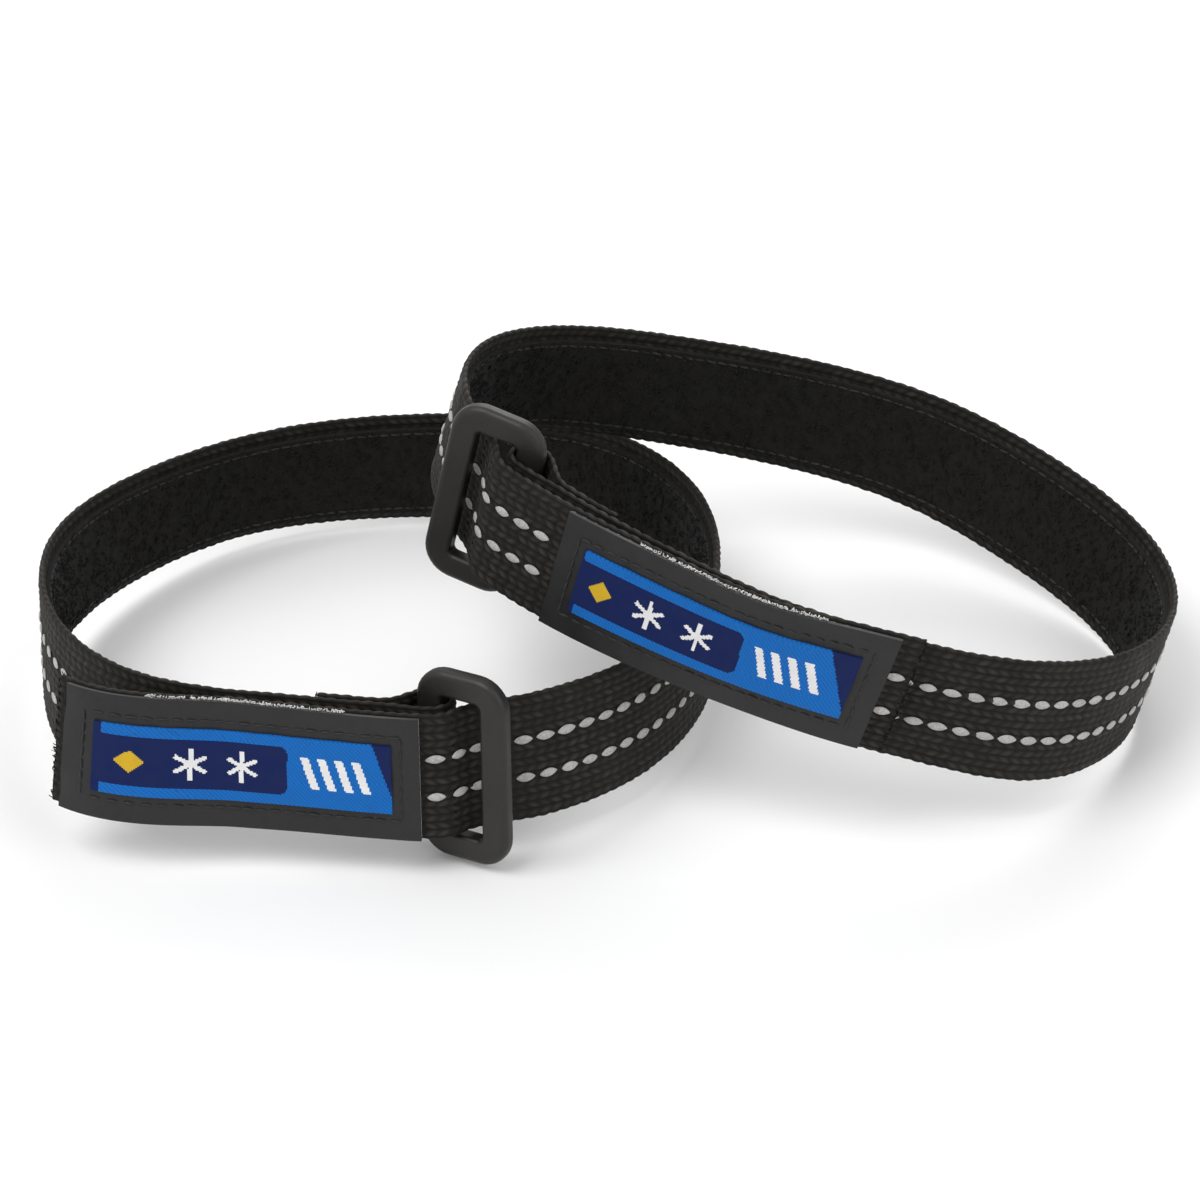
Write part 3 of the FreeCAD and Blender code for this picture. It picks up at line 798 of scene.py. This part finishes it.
def tone_group() -> bpy.types.NodeTree:
    """Shared shader group: mixes a surface's two colours by its relief, which paints shade into the hollows,
    and by its grain.

    Returns:
        The group, with inputs Colour, Shade, Relief, Fine and Coarse, and output Colour.
    """
    group = bpy.data.node_groups.new("mottle_and_painted_shade", "ShaderNodeTree")
    for label in ("Colour", "Shade"):
        group.interface.new_socket(label, in_out="INPUT", socket_type="NodeSocketColor")
    for label in ("Relief", "Fine", "Coarse"):
        group.interface.new_socket(label, in_out="INPUT", socket_type="NodeSocketFloat")
    group.interface.new_socket("Colour", in_out="OUTPUT", socket_type="NodeSocketColor")
    given = node(group, "NodeGroupInput").outputs
    spread = node(group, "ShaderNodeMapRange", {0: given["Fine"], 1: 0.3, 2: 0.7, 3: 0.45, 4: 1.15})
    worn = node(group, "ShaderNodeMapRange", {0: given["Coarse"], 1: 0.3, 2: 0.7, 3: 0.8, 4: 1.15})
    both = node(group, "ShaderNodeMath", {0: spread.outputs[0], 1: worn.outputs[0]}, operation="MULTIPLY")
    # painted shade: the relief darkens the hollows towards the shade colour, on top of the random mottling
    share = node(group, "ShaderNodeMath", {0: both.outputs[0], 1: given["Relief"]}, operation="MULTIPLY")
    share.use_clamp = True
    mixed = node(group, "ShaderNodeMix",
                 {"Factor": share.outputs[0], 6: given["Shade"], 7: given["Colour"]}, data_type="RGBA")
    node(group, "NodeGroupOutput", {"Colour": mixed.outputs[2]})
    return group


def shared(label: str, build: Callable) -> bpy.types.NodeTree:
    """Shader group of that name, built the first time that it's asked for."""
    return bpy.data.node_groups.get(label) or build()


class Looks:
    """The finishes as materials."""

    def __init__(self):
        """Makes every material once."""
        self.webbing = self.material(WEBBING, by_uv=True, relief=True)
        self.pile = self.material(PILE)
        self.hooks = self.material(HOOKS)
        self.thread = self.material(THREAD)
        self.yarn = self.material(YARN)
        self.plastic = self.material(PLASTIC)
        self.backing = self.material(BACKING)
        self.sheet = self.material(SHEET)
        self.label = self.material(LABEL, by_uv=True, painted=True)
        self.floor = self.material(FLOOR)

    def material(self, finish: Finish, by_uv: bool = False, relief: bool = False,
                 painted: bool = False) -> bpy.types.Material:
        """Builds one material.

        Args:
            finish: its look.
            by_uv: whether its grain follows the strap, by the UVs in centimetres.
            relief: whether the hollows get painted shade, darkened by the attribute "relief".
            painted: whether its colour comes from the attribute "thread_colour".

        Returns:
            The material.
        """
        made = bpy.data.materials.new(finish.name)
        made.use_nodes = True
        tree = made.node_tree
        tree.nodes.clear()
        place = node(tree, "ShaderNodeTexCoord").outputs["UV" if by_uv else "Object"]
        grain = node(tree, "ShaderNodeGroup", node_tree=shared("fine_and_coarse_grain", grain_group))
        tree.links.new(place, grain.inputs["Vector"])
        grain.inputs["Scale"].default_value = finish.grain
        grain.inputs["Stretch"].default_value = finish.streak
        tone = node(tree, "ShaderNodeGroup", node_tree=shared("mottle_and_painted_shade", tone_group))
        tone.inputs["Colour"].default_value = (*finish.colour, 1.0)
        tone.inputs["Shade"].default_value = (*finish.shade, 1.0)
        tone.inputs["Relief"].default_value = 1.0
        tree.links.new(grain.outputs["Fine"], tone.inputs["Fine"])
        tree.links.new(grain.outputs["Coarse"], tone.inputs["Coarse"])
        colour = tone.outputs["Colour"]
        # painted shade: the weave's relief darkens its hollows towards the shade colour
        if relief:
            height = node(tree, "ShaderNodeAttribute", attribute_name="relief").outputs["Fac"]
            tree.links.new(height, tone.inputs["Relief"])
        if painted:
            paint = node(tree, "ShaderNodeAttribute", attribute_name="thread_colour").outputs["Color"]
            colour = node(tree, "ShaderNodeMix", {"Factor": 1.0, 6: paint, 7: colour},
                          data_type="RGBA", blend_type="MULTIPLY").outputs[2]
        rough = node(tree, "ShaderNodeMapRange",
                     {0: grain.outputs["Coarse"], 1: 0.3, 2: 0.7, 3: finish.roughness - 0.1,
                      4: finish.roughness + 0.1})
        bump = node(tree, "ShaderNodeBump",
                    {"Strength": finish.bump, "Distance": 0.0002, "Height": grain.outputs["Fine"]})
        skin = node(tree, "ShaderNodeBsdfPrincipled",
                    {"Base Color": colour, "Roughness": rough.outputs[0], "Normal": bump.outputs[0]})
        skin.inputs["Sheen Weight"].default_value = finish.sheen
        skin.inputs["Specular IOR Level"].default_value = finish.specular
        node(tree, "ShaderNodeOutputMaterial", {"Surface": skin.outputs[0]})
        return made


# ---- buckle

def rounded_loop(low: np.ndarray, high: np.ndarray, radius: float, steps: int = 8) -> tuple:
    """Points and outward directions round a rectangle with rounded corners.

    Args:
        low, high: its opposite corners.
        radius: its corner radius.
        steps: how many facets each corner has.

    Returns:
        Two arrays of two-dimensional points and directions.
    """
    points, normals = [], []
    corners = ((high[0], high[1]), (low[0], high[1]), (low[0], low[1]), (high[0], low[1]))
    for k, (x, y) in enumerate(corners):
        turn = np.radians(90.0 * k) + np.linspace(0.0, math.pi / 2.0, steps + 1)
        normal = np.stack([np.cos(turn), np.sin(turn)], 1)
        inward = np.array([-radius if x == high[0] else radius, -radius if y == high[1] else radius])
        points.append(np.array([x, y]) + inward + radius * normal)
        normals.append(normal)
    return np.concatenate(points), np.concatenate(normals)


def buckle_mesh(name: str, band: Band) -> bpy.types.Mesh:
    """The moulded ring, with exact rounded edges, in the frame.

    Args:
        name: the mesh's name.
        band: the band of the strap that it holds.

    Returns:
        The mesh.
    """
    bottom = -band.shape.window_gap_below - END_WIDTH
    outer = np.array([[-BAR_WIDTH / 2.0, bottom], [BUCKLE_WIDTH - BAR_WIDTH / 2.0, bottom + BUCKLE_HEIGHT]])
    window = outer + np.array([[BAR_WIDTH, END_WIDTH], [-BAR_WIDTH, -END_WIDTH]])
    half = BUCKLE_THICK / 2.0
    loops, normals = [], []

    def add(rect: np.ndarray, radius: float, edge: float, side: float, turn: float,
            grow: float) -> None:
        """One loop of an edge's rounding, on the front or back, at a turn from its flank."""
        inset = edge * (1.0 - math.cos(turn))
        shift = inset * grow
        spot, facing = rounded_loop(rect[0] - shift, rect[1] + shift, radius + shift)
        depth = side * (half - edge * (1.0 - math.sin(turn)))
        loops.append(np.stack([spot[:, 0], np.full(len(spot), depth), spot[:, 1]], 1))
        flank = facing * math.cos(turn) * (-grow)
        normals.append(np.stack([flank[:, 0], np.full(len(spot), side * math.sin(turn)), flank[:, 1]], 1))

    turns = np.linspace(0.0, math.pi / 2.0, 7)
    for turn in turns:
        add(outer, BUCKLE_CORNER, BUCKLE_EDGE, -1.0, turn, -1.0)
    for turn in turns[::-1]:
        add(window, WINDOW_CORNER, WINDOW_EDGE, -1.0, turn, 1.0)
    for turn in turns:
        add(window, WINDOW_CORNER, WINDOW_EDGE, 1.0, turn, 1.0)
    for turn in turns[::-1]:
        add(outer, BUCKLE_CORNER, BUCKLE_EDGE, 1.0, turn, -1.0)
    origin, ahead, out, up = band.axes(0.0)
    swing = math.radians(band.shape.buckle_swing)
    far_way = out * math.sin(swing) - ahead * math.cos(swing)
    frame = np.stack([far_way, np.cross(up, far_way), up])
    local = np.stack(loops)
    points = local @ frame + origin + out * BAR_DEPTH - FRAME_ORIGIN
    facing = unit(np.stack(normals) @ frame)
    count, samples = points.shape[:2]
    i, j = (a.ravel() for a in np.meshgrid(np.arange(count), np.arange(samples), indexing="ij"))
    k, n = (j + 1) % samples, (i + 1) % count
    quads = np.stack([i * samples + j, i * samples + k, n * samples + k, n * samples + j], 1)
    flat = points.reshape(-1, 3)
    if enclosed(flat, quads) < 0.0:
        quads = quads[:, ::-1]
    mesh = bpy.data.meshes.new(name)
    mesh.from_pydata((flat * MM).tolist(), [], quads.tolist())
    mesh.shade_smooth()
    mesh.normals_split_custom_set_from_vertices(facing.reshape(-1, 3).tolist())
    return mesh


# ---- woven label

NAVY = (0.0015, 0.010, 0.075)
SKY = (0.003, 0.135, 0.47)
DEEP_SKY = (0.002, 0.09, 0.36)
GOLD = (0.60, 0.38, 0.02)
WHITE = (0.75, 0.75, 0.75)


def flake(x: np.ndarray, y: np.ndarray) -> np.ndarray:
    """Whether a place is on a six-armed snow star of radius 1 about the origin."""
    reach = np.hypot(x, y)
    arm = np.zeros(np.shape(x), bool)
    for k in range(3):
        turn = math.pi * k / 3.0 + math.pi / 6.0
        arm |= np.abs(x * math.sin(turn) - y * math.cos(turn)) < 0.13
    return arm & (reach < 1.0)


@dataclass(frozen=True)
class LabelDesign:
    """Sizes of the label's woven pattern, in millimetres."""

    hem: float = 1.0
    corner: float = 1.6
    stripe: float = 1.9
    diamond: float = 2.2
    diamond_share: float = 0.16
    flake_shares: tuple = (0.45, 0.74)
    flake_radius: float = 3.0
    bars: int = 4
    bar_start: float = 3.4
    bar_pitch: float = 3.1
    bar_width: float = 1.5
    bar_reach: float = 3.0
    lean: float = 0.35
    end_margin: float = 1.6

    def colours(self, x: np.ndarray, y: np.ndarray, length: float, height: float) -> np.ndarray:
        """Thread colour at places on the label, from its left end and its lower edge.

        Args:
            x, y: arrays of places, in millimetres.
            length, height: the label's size.

        Returns:
            An array of colours, places by three.
        """
        panel, middle = length * LABEL_PANEL, height / 2.0
        colours = np.empty((*np.shape(x), 3))
        colours[:] = SKY
        twill = (np.floor((x + y) / LABEL_CELL) % 3 == 0)
        colours[twill] = DEEP_SKY
        inside_x = np.clip(x, self.corner, panel - self.corner)
        inside_y = np.clip(y, self.stripe + self.corner, height - self.stripe - self.corner)
        rounded = np.hypot(x - inside_x, y - inside_y) < self.corner
        colours[rounded | (x < self.hem)] = NAVY
        diamond = np.abs(x - panel * self.diamond_share) + np.abs(y - middle) < self.diamond
        colours[diamond] = GOLD
        for share in self.flake_shares:
            star = flake((x - panel * share) / self.flake_radius, (y - middle) / self.flake_radius)
            colours[star] = WHITE
        slope = x + self.lean * (y - middle) - panel
        for k in range(self.bars):
            start = self.bar_start + self.bar_pitch * k
            bar = (slope > start) & (slope < start + self.bar_width) & (np.abs(y - middle) < self.bar_reach)
            colours[bar] = WHITE
        colours[slope > length - panel - self.end_margin] = NAVY
        return colours


# ---- one strap

class StrapLooks:
    """Builds the visible pieces of one strap and ties each, apart from those of the bend, to its body."""

    def __init__(self, shape: StrapShape, looks: Looks):
        """Lays out the strap's path.

        Args:
            shape: the strap's outline and how it lies.
            looks: the materials.
        """
        self.side = shape.side.value
        self.shape = shape
        self.looks = looks
        self.band = Band(shape)
        self.path = StrapPath(self.band)
        self.rng = np.random.default_rng(len(self.side))
        self.phase = self.path.tab_place(shape.dash_phase)
        self.band_end = self.path.main_place(self.band.length + SLEEVE[0])
        self.tab_start = self.path.tab_place(SLEEVE[1])
        self.hook_end = shape.tab_length - HOOK_END_MARGIN

    def body(self, part: str) -> str:
        """Full name of one of this strap's bodies."""
        return f"{self.side}_{part}"

    def keep(self, piece: bpy.types.Object, body: str, slot: str, *nodes: str) -> None:
        """Ties a piece to a body and hides the CAD nodes that it stands for."""
        log.info("%s rides on %s", piece.name, self.body(body))
        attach(piece, self.body(body))
        if nodes:
            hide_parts(*(self.body(name) for name in nodes))

    def bend(self, piece: bpy.types.Object) -> None:
        """Bakes the transform of a piece of the webbing's bend, which is tied to no body."""
        start, end = (tuple(p * MM) for p in
                      self.path.at(np.array([self.band_end, self.tab_start]), np.zeros(2),
                                   np.full(2, WEB_WIDTH / 2.0)))
        log.info("%s bends between the band and the tab", piece.name)
        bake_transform(piece)

    def object(self, name: str, mesh: bpy.types.Mesh, material: bpy.types.Material) -> bpy.types.Object:
        """Links a new object with one material."""
        made = bpy.data.objects.new(self.body(name), mesh)
        mesh.name = made.name
        if material:
            mesh.materials.append(material)
        bpy.context.collection.objects.link(made)
        return made

    def build(self) -> None:
        """Makes every piece of the strap."""
        self.add_webbing()
        self.add_piles()
        self.add_hooks()
        self.add_dashes()
        self.add_stitching()
        self.add_patch()
        self.add_label()
        self.add_frays()
        ring = self.object("buckle_look", buckle_mesh("buckle", self.band), self.looks.plastic)
        self.keep(ring, "buckle_ring", "buckle_plastic", "buckle")

    def add_webbing(self) -> None:
        """The band with its sewn-back end, the bend at the window and the tab."""
        tab_end = self.path.tab_place(self.shape.tab_length)
        for name, start, end in (("band_look", 0.0, self.band_end),
                                 ("bend_look", self.band_end, self.tab_start),
                                 ("tab_look", self.tab_start, tab_end)):
            mesh = webbing_mesh(name, self.path, start, end, self.phase)
            piece = self.object(name, mesh, self.looks.webbing)
            if name == "band_look":
                self.keep(piece, "band", "webbing", "webbing")
            elif name == "tab_look":
                self.keep(piece, "tab", "webbing", "tab_webbing")
            else:
                self.bend(piece)

    def add_piles(self) -> None:
        """The loop tape inside the band and the tab, with its looped fibres."""
        start = self.path.main_place(FOLD_LENGTH + TAPE_MARGIN)
        tab_end = self.path.tab_place(self.shape.tab_length - TAB_PILE_MARGIN)
        self.add_pile("pile", start, self.band_end, "band", "pile_tape")
        self.add_pile("bend_pile", self.band_end, self.tab_start, None, None)
        self.add_pile("tab_pile", self.tab_start, tab_end, "tab", "tab_pile_tape")

    def add_pile(self, name: str, start: float, end: float, body: str | None,
                 cad_node: str | None) -> None:
        """One stretch of loop tape and its fibres."""
        places = rows(start, end, PILE_CELL)
        face = -WEB_THICK / 2.0
        top = face - PILE_THICK + PILE_ROUGH
        mesh = tape_mesh(name, self.path, places, PILE_LOW, PILE_HIGH, face + BUMP_HEIGHT, top, PILE_CELL,
                         lambda place, up: -PILE_ROUGH * self.rng.random(place.shape))
        base = self.object(name, mesh, self.looks.pile)
        count = int((end - start) * (PILE_HIGH - PILE_LOW) * TUFTS_PER_CELL)
        spots = self.rng.uniform(start, end, count)
        up = self.rng.uniform(PILE_LOW + TUFT_INSET, PILE_HIGH - TUFT_INSET, count)
        _, ahead, outward, _ = self.path.axes(spots)
        points = self.path.at(spots, np.full(count, top + TUFT_SINK), up)
        tufts = lay_grains(self.body(f"{name}_tufts"), TUFT, points, ahead, -outward, self.looks.pile,
                           len(name))
        for piece, nodes in ((base, (cad_node,)), (tufts, ())):
            if body:
                self.keep(piece, body, "loop_pile", *nodes)
            else:
                self.bend(piece)

    def add_hooks(self) -> None:
        """The hook tape under the tab and its field of hooks."""
        start, end = HOOK_START, self.hook_end
        places = self.path.main_place(rows(start, end, 1.0))
        face = WEB_THICK / 2.0
        mesh = tape_mesh("hooks", self.path, places, HOOK_LOW, HOOK_HIGH, face - BUMP_HEIGHT,
                         face + HOOK_TAPE_THICK, 2.0, lambda place, up: 0.0 * place)
        self.keep(self.object("hook_tape_look", mesh, self.looks.hooks), "band", "hook_tape", "hook_tape")
        ways = np.meshgrid(np.arange(start + 1.0, end - 0.5, HOOK_PITCH),
                           np.arange(HOOK_LOW + HOOK_INSET, HOOK_HIGH - 1.5, HOOK_PITCH))
        along, up = (a.ravel() for a in ways)
        spots = self.path.main_place(along)
        _, ahead, outward, _ = self.path.axes(spots)
        points = self.path.at(spots, np.full(len(spots), face + HOOK_TAPE_THICK - 0.1), up)
        hooks = lay_grains(self.body("hooks"), HOOK, points, ahead, outward, self.looks.hooks, 5)
        self.keep(hooks, "band", "hook_tape")

    def add_dashes(self) -> None:
        """The reflective yarn's dashes, in two rows on the outer face."""
        shape, path = self.shape, self.path
        tab_end = path.tab_place(shape.tab_length)
        beyond_hooks = path.main_place(self.hook_end + TAPE_MARGIN)
        patch = path.tab_place(np.array([shape.patch_start, shape.patch_start + PATCH_LENGTH]))
        runs = (("dashes", "band", [(1.0, path.bar_place - 12.0), (beyond_hooks, self.band_end)],
                 ("upper_yarn", "lower_yarn")),
                ("bend_dashes", None, [(self.band_end, self.tab_start)], ()),
                ("tab_dashes", "tab", [(self.tab_start, patch[0] - DASH_END_GAP),
                                      (patch[1] + 1.0, tab_end - DASH_END_GAP)],
                 ("tab_upper_yarn", "tab_lower_yarn")))
        for name, body, stretches, nodes in runs:
            spots = np.concatenate([self.dash_places(*stretch) for stretch in stretches])
            both = np.tile(spots, 2)
            offset = np.repeat([YARN_OFFSET, -YARN_OFFSET], len(spots))
            _, ahead, outward, _ = path.axes(both)
            points = path.at(both, np.full(len(both), WEB_THICK / 2.0 - DASH_SINK), WEB_WIDTH / 2.0 + offset)
            piece = lay_grains(self.body(name), DASH, points, ahead, outward, self.looks.yarn, 3)
            if body:
                self.keep(piece, body, "reflective_yarn", *nodes)
            else:
                self.bend(piece)

    def dash_places(self, start: float, end: float) -> np.ndarray:
        """Middles of the dashes that show between two places on the path."""
        first = math.ceil((start - self.phase) / DASH_PITCH)
        last = math.floor((end - self.phase) / DASH_PITCH)
        return self.phase + DASH_PITCH * np.arange(first, last + 1)

    def add_stitching(self) -> None:
        """Rows of lock stitches along the tapes, and the bar tack on the sewn-back end."""
        inner = -WEB_THICK / 2.0 - PILE_THICK + 0.1
        start = self.path.main_place(FOLD_LENGTH + TAPE_MARGIN)
        self.add_seams("pile_seams", start, self.band_end, (PILE_LOW, PILE_HIGH), inner, -1.0,
                       "pile_stitching")
        hooks = self.path.main_place(np.array([HOOK_START, self.hook_end]))
        outer = WEB_THICK / 2.0 + HOOK_TAPE_THICK
        self.add_seams("hook_seams", hooks[0], hooks[1], (HOOK_LOW, HOOK_HIGH), outer, 1.0, "hook_stitching")
        first = (WEB_WIDTH - (TACK_STITCHES - 1) * TACK_PITCH) / 2.0
        up = first + TACK_PITCH * np.arange(TACK_STITCHES)
        spots = np.full(TACK_STITCHES, TACK_SETBACK)
        _, _, outward, upward = self.path.axes(spots)
        points = self.path.at(spots, np.full(TACK_STITCHES, WEB_THICK / 2.0), up)
        tack = lay_grains(self.body("tack_look"), STITCH, points, upward, outward, self.looks.thread, 7)
        self.keep(tack, "band", "black_thread", "bar_tack")

    def add_seams(self, name: str, start: float, end: float, edges: tuple, depth: float, way: float,
                  cad_node: str) -> None:
        """Two rows of stitches, one just inside each edge of a tape."""
        spots = np.arange(start + STITCH_PITCH / 2.0, end - STITCH_PITCH / 2.0, STITCH_PITCH)
        both = np.tile(spots, 2)
        up = np.repeat([edges[0] + SEAM_INSET, edges[1] - SEAM_INSET], len(spots))
        _, ahead, outward, _ = self.path.axes(both)
        points = self.path.at(both, np.full(len(both), depth), up)
        piece = lay_grains(self.body(name), STITCH, points, ahead, outward * way, self.looks.thread, 9)
        self.keep(piece, "band", "black_thread", cad_node)

    def add_patch(self) -> None:
        """The coated patch on its white backing, whose fibres show along the cut upper edge."""
        shape, path = self.shape, self.path
        start, end = shape.patch_start, shape.patch_start + PATCH_LENGTH
        face = WEB_THICK / 2.0
        places = path.tab_place(rows(start, end, PATCH_CELL))
        backing = tape_mesh("backing", path, places, PATCH_LOW + BACKING_INSET, PATCH_HIGH - BACKING_INSET,
                            face - BUMP_HEIGHT, face + BACKING_THICK, 4.0, lambda place, up: 0.0 * place)
        self.keep(self.object("backing_look", backing, self.looks.backing), "tab", "white_backing",
                  "patch_backing")

        def pucker(place: np.ndarray, up: np.ndarray) -> np.ndarray:
            """The sheet is drawn down along the seam and swells a little between."""
            ripple = 0.05 * np.sin(place * 1.1 + 0.4 * up) + 0.04 * np.sin(place * 0.53 - 0.7 * up)
            rim = np.minimum(ease((up - PATCH_LOW) / 0.6), ease((PATCH_HIGH - up) / 0.6))
            return (ripple - 0.1) * rim - 0.12 * (1.0 - rim)

        sheet = tape_mesh("sheet", path, places, PATCH_LOW, PATCH_HIGH, face + BACKING_THICK,
                          face + BACKING_THICK + PATCH_THICK, PATCH_CELL_UP, pucker)
        self.keep(self.object("patch_look", sheet, self.looks.sheet), "tab", "patch_sheet", "patch")
        count = int(PATCH_LENGTH * FIBRES_PER_MM)
        first, last = (start + share * PATCH_LENGTH for share in FIBRE_SPAN)
        spots = path.tab_place(self.rng.uniform(first, last, count))
        _, ahead, _, upward = path.axes(spots)
        points = path.at(spots, face + self.rng.uniform(0.0, BACKING_THICK + 0.15, count),
                         np.full(count, PATCH_HIGH - 0.15))
        fibres = lay_grains(self.body("backing_fibres"), FIBRE, points, ahead, upward, self.looks.backing, 2)
        self.keep(fibres, "tab", "white_backing")

    def add_label(self) -> None:
        """The woven label, coloured thread by thread, and the stitching round it."""
        path = self.path
        start = self.shape.patch_start + (PATCH_LENGTH - LABEL_LENGTH) / 2.0
        level = WEB_THICK / 2.0 + BACKING_THICK + PATCH_THICK
        alongs = rows(start, start + LABEL_LENGTH, LABEL_CELL)
        places = path.tab_place(alongs)
        mesh = tape_mesh("label", path, places, LABEL_LOW, LABEL_HIGH, level - LABEL_SUNK,
                         level + LABEL_THICK, LABEL_CELL, lambda place, up: 0.0 * place)
        centres = np.empty(len(mesh.polygons) * 3)
        mesh.polygons.foreach_get("center", centres)
        centres = centres.reshape(-1, 3) / MM
        nearest = self.nearest_along(centres, alongs)
        reading = nearest - start if self.shape.run > 0 else start + LABEL_LENGTH - nearest
        lower, _, _, up_there = path.axes(path.tab_place(nearest))
        height = np.sum((centres - lower) * up_there, 1) - LABEL_LOW
        colours = LabelDesign().colours(reading, height, LABEL_LENGTH, LABEL_HIGH - LABEL_LOW)
        layer = mesh.attributes.new("thread_colour", "FLOAT_COLOR", "CORNER")
        sizes = np.array([len(face.vertices) for face in mesh.polygons])
        rgba = np.concatenate([colours, np.ones((len(colours), 1))], 1)
        layer.data.foreach_set("color", np.repeat(rgba, sizes, 0).ravel())
        self.keep(self.object("label_look", mesh, self.looks.label), "tab", "woven_label", "label")
        self.add_label_seam(start, level)

    def nearest_along(self, points: np.ndarray, alongs: np.ndarray) -> np.ndarray:
        """How far along the tab the points are, from the alongs that they lie between."""
        lower, ahead, _, _ = self.path.axes(self.path.tab_place(alongs))
        guess = np.linspace(0, len(alongs) - 1, NEAREST_GUESSES).astype(int)
        away = np.linalg.norm(points[:, None] - lower[None, guess], axis=2)
        k = guess[np.argmin(away, 1)]
        return alongs[k] + np.sum((points - lower[k]) * ahead[k], 1)

    def add_label_seam(self, start: float, level: float) -> None:
        """A rectangle of stitches just outside the label."""
        margin = LABEL_SEAM_MARGIN
        low, high = LABEL_LOW - margin, LABEL_HIGH + margin
        first, last = start - margin, start + LABEL_LENGTH + margin
        along = np.arange(first + STITCH_PITCH / 2.0, last, STITCH_PITCH)
        up = np.arange(low + STITCH_PITCH / 2.0, high, STITCH_PITCH)
        places = self.path.tab_place(np.concatenate([along, along, 0.0 * up + first, 0.0 * up + last]))
        heights = np.concatenate([0.0 * along + low, 0.0 * along + high, up, up])
        _, ahead, outward, upward = self.path.axes(places)
        runs_up = np.arange(len(places)) >= 2 * len(along)
        points = self.path.at(places, np.full(len(places), level), heights)
        seam = lay_grains(self.body("label_seam"), STITCH, points, np.where(runs_up[:, None], upward, ahead),
                          outward, self.looks.thread, 4)
        self.keep(seam, "tab", "black_thread", "label_stitching")

    def add_frays(self) -> None:
        """Loose yarn ends at the webbing's two cut ends."""
        tab_end = self.path.tab_place(self.shape.tab_length)
        for name, body, place, way, seed in (("leg_fray", "band", 0.0, -1.0, 6),
                                             ("tab_fray", "tab", tab_end, 1.0, 8)):
            spots = np.full(FRAY_COUNT, place)
            _, ahead, _, upward = self.path.axes(spots)
            half = WEB_THICK / 2.0 - 0.15
            points = self.path.at(spots, self.rng.uniform(-half, half, FRAY_COUNT),
                                  self.rng.uniform(FRAY_INSET, WEB_WIDTH - FRAY_INSET, FRAY_COUNT))
            piece = lay_grains(self.body(name), FRAY, points - ahead * way * FRAY_SINK, upward, ahead * way,
                               self.looks.webbing, seed)
            self.keep(piece, body, "webbing")


# ---- studio

@dataclass(frozen=True)
class Lamp:
    """One soft light: where it is and how wide, in metres, and its power in watts."""

    name: str
    spot: tuple
    size: float
    power: float


@dataclass(frozen=True)
class Studio:
    """The floor, the lights and the camera, in metres and degrees."""

    floor_half: float = 1.5
    floor_drop: float = 0.0004
    daylight: float = 0.75
    camera_distance: float = 0.6592
    camera_rise: float = 32.46
    camera_lens: float = 97.2
    lamps: tuple = (Lamp("key", (-0.55, -0.35, 1.1), 0.7, 9.0), Lamp("fill", (0.9, -0.6, 0.8), 0.9, 4.0),
                    Lamp("rim", (0.2, 1.0, 0.7), 0.8, 5.0))

    def build(self, looks: Looks) -> None:
        """Makes the whole stage.

        Args:
            looks: the materials.
        """
        target = Vector(-FRAME_ORIGIN * MM)
        self.add_floor(looks)
        self.add_lights(target)
        self.add_camera(target)
        bpy.context.scene.view_settings.view_transform = "Standard"

    def add_floor(self, looks: Looks) -> None:
        """A wide pale floor just under the pair."""
        half = self.floor_half
        mesh = bpy.data.meshes.new("floor")
        corners = [(-half, -half), (half, -half), (half, half), (-half, half)]
        mesh.from_pydata([(x, y, -self.floor_drop) for x, y in corners], [], [(0, 1, 2, 3)])
        mesh.materials.append(looks.floor)
        floor = bpy.data.objects.new("floor", mesh)
        bpy.context.collection.objects.link(floor)

    def add_lights(self, target: Vector) -> None:
        """Even light from all round, and three soft lamps that face the pair."""
        world = bpy.data.worlds.new("studio")
        world.use_nodes = True
        sky = world.node_tree.nodes["Background"]
        sky.inputs["Color"].default_value = (1.0, 1.0, 1.0, 1.0)
        sky.inputs["Strength"].default_value = self.daylight
        bpy.context.scene.world = world
        for lamp in self.lamps:
            light = bpy.data.lights.new(lamp.name, "AREA")
            light.size = lamp.size
            light.energy = lamp.power
            hung = bpy.data.objects.new(lamp.name, light)
            hung.location = lamp.spot
            hung.rotation_euler = (target - Vector(lamp.spot)).to_track_quat("-Z", "Y").to_euler()
            bpy.context.collection.objects.link(hung)

    def add_camera(self, target: Vector) -> None:
        """The camera in front of the pair, looking down at it."""
        lens = bpy.data.cameras.new("camera")
        lens.lens = self.camera_lens
        camera = bpy.data.objects.new("camera", lens)
        rise = math.radians(self.camera_rise)
        back = Vector((0.0, -math.cos(rise), math.sin(rise))) * self.camera_distance
        camera.location = target + back
        camera.rotation_euler = (-back).to_track_quat("-Z", "Y").to_euler()
        bpy.context.collection.objects.link(camera)
        bpy.context.scene.camera = camera


def main() -> None:
    """Builds the scene round the frame."""
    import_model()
    looks = Looks()
    for shape in (LEFT, RIGHT):
        log.info("building the %s strap", shape.side.value)
        StrapLooks(shape, looks).build()
    Studio().build(looks)
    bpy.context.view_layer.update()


if __name__ == "__main__":
    main()
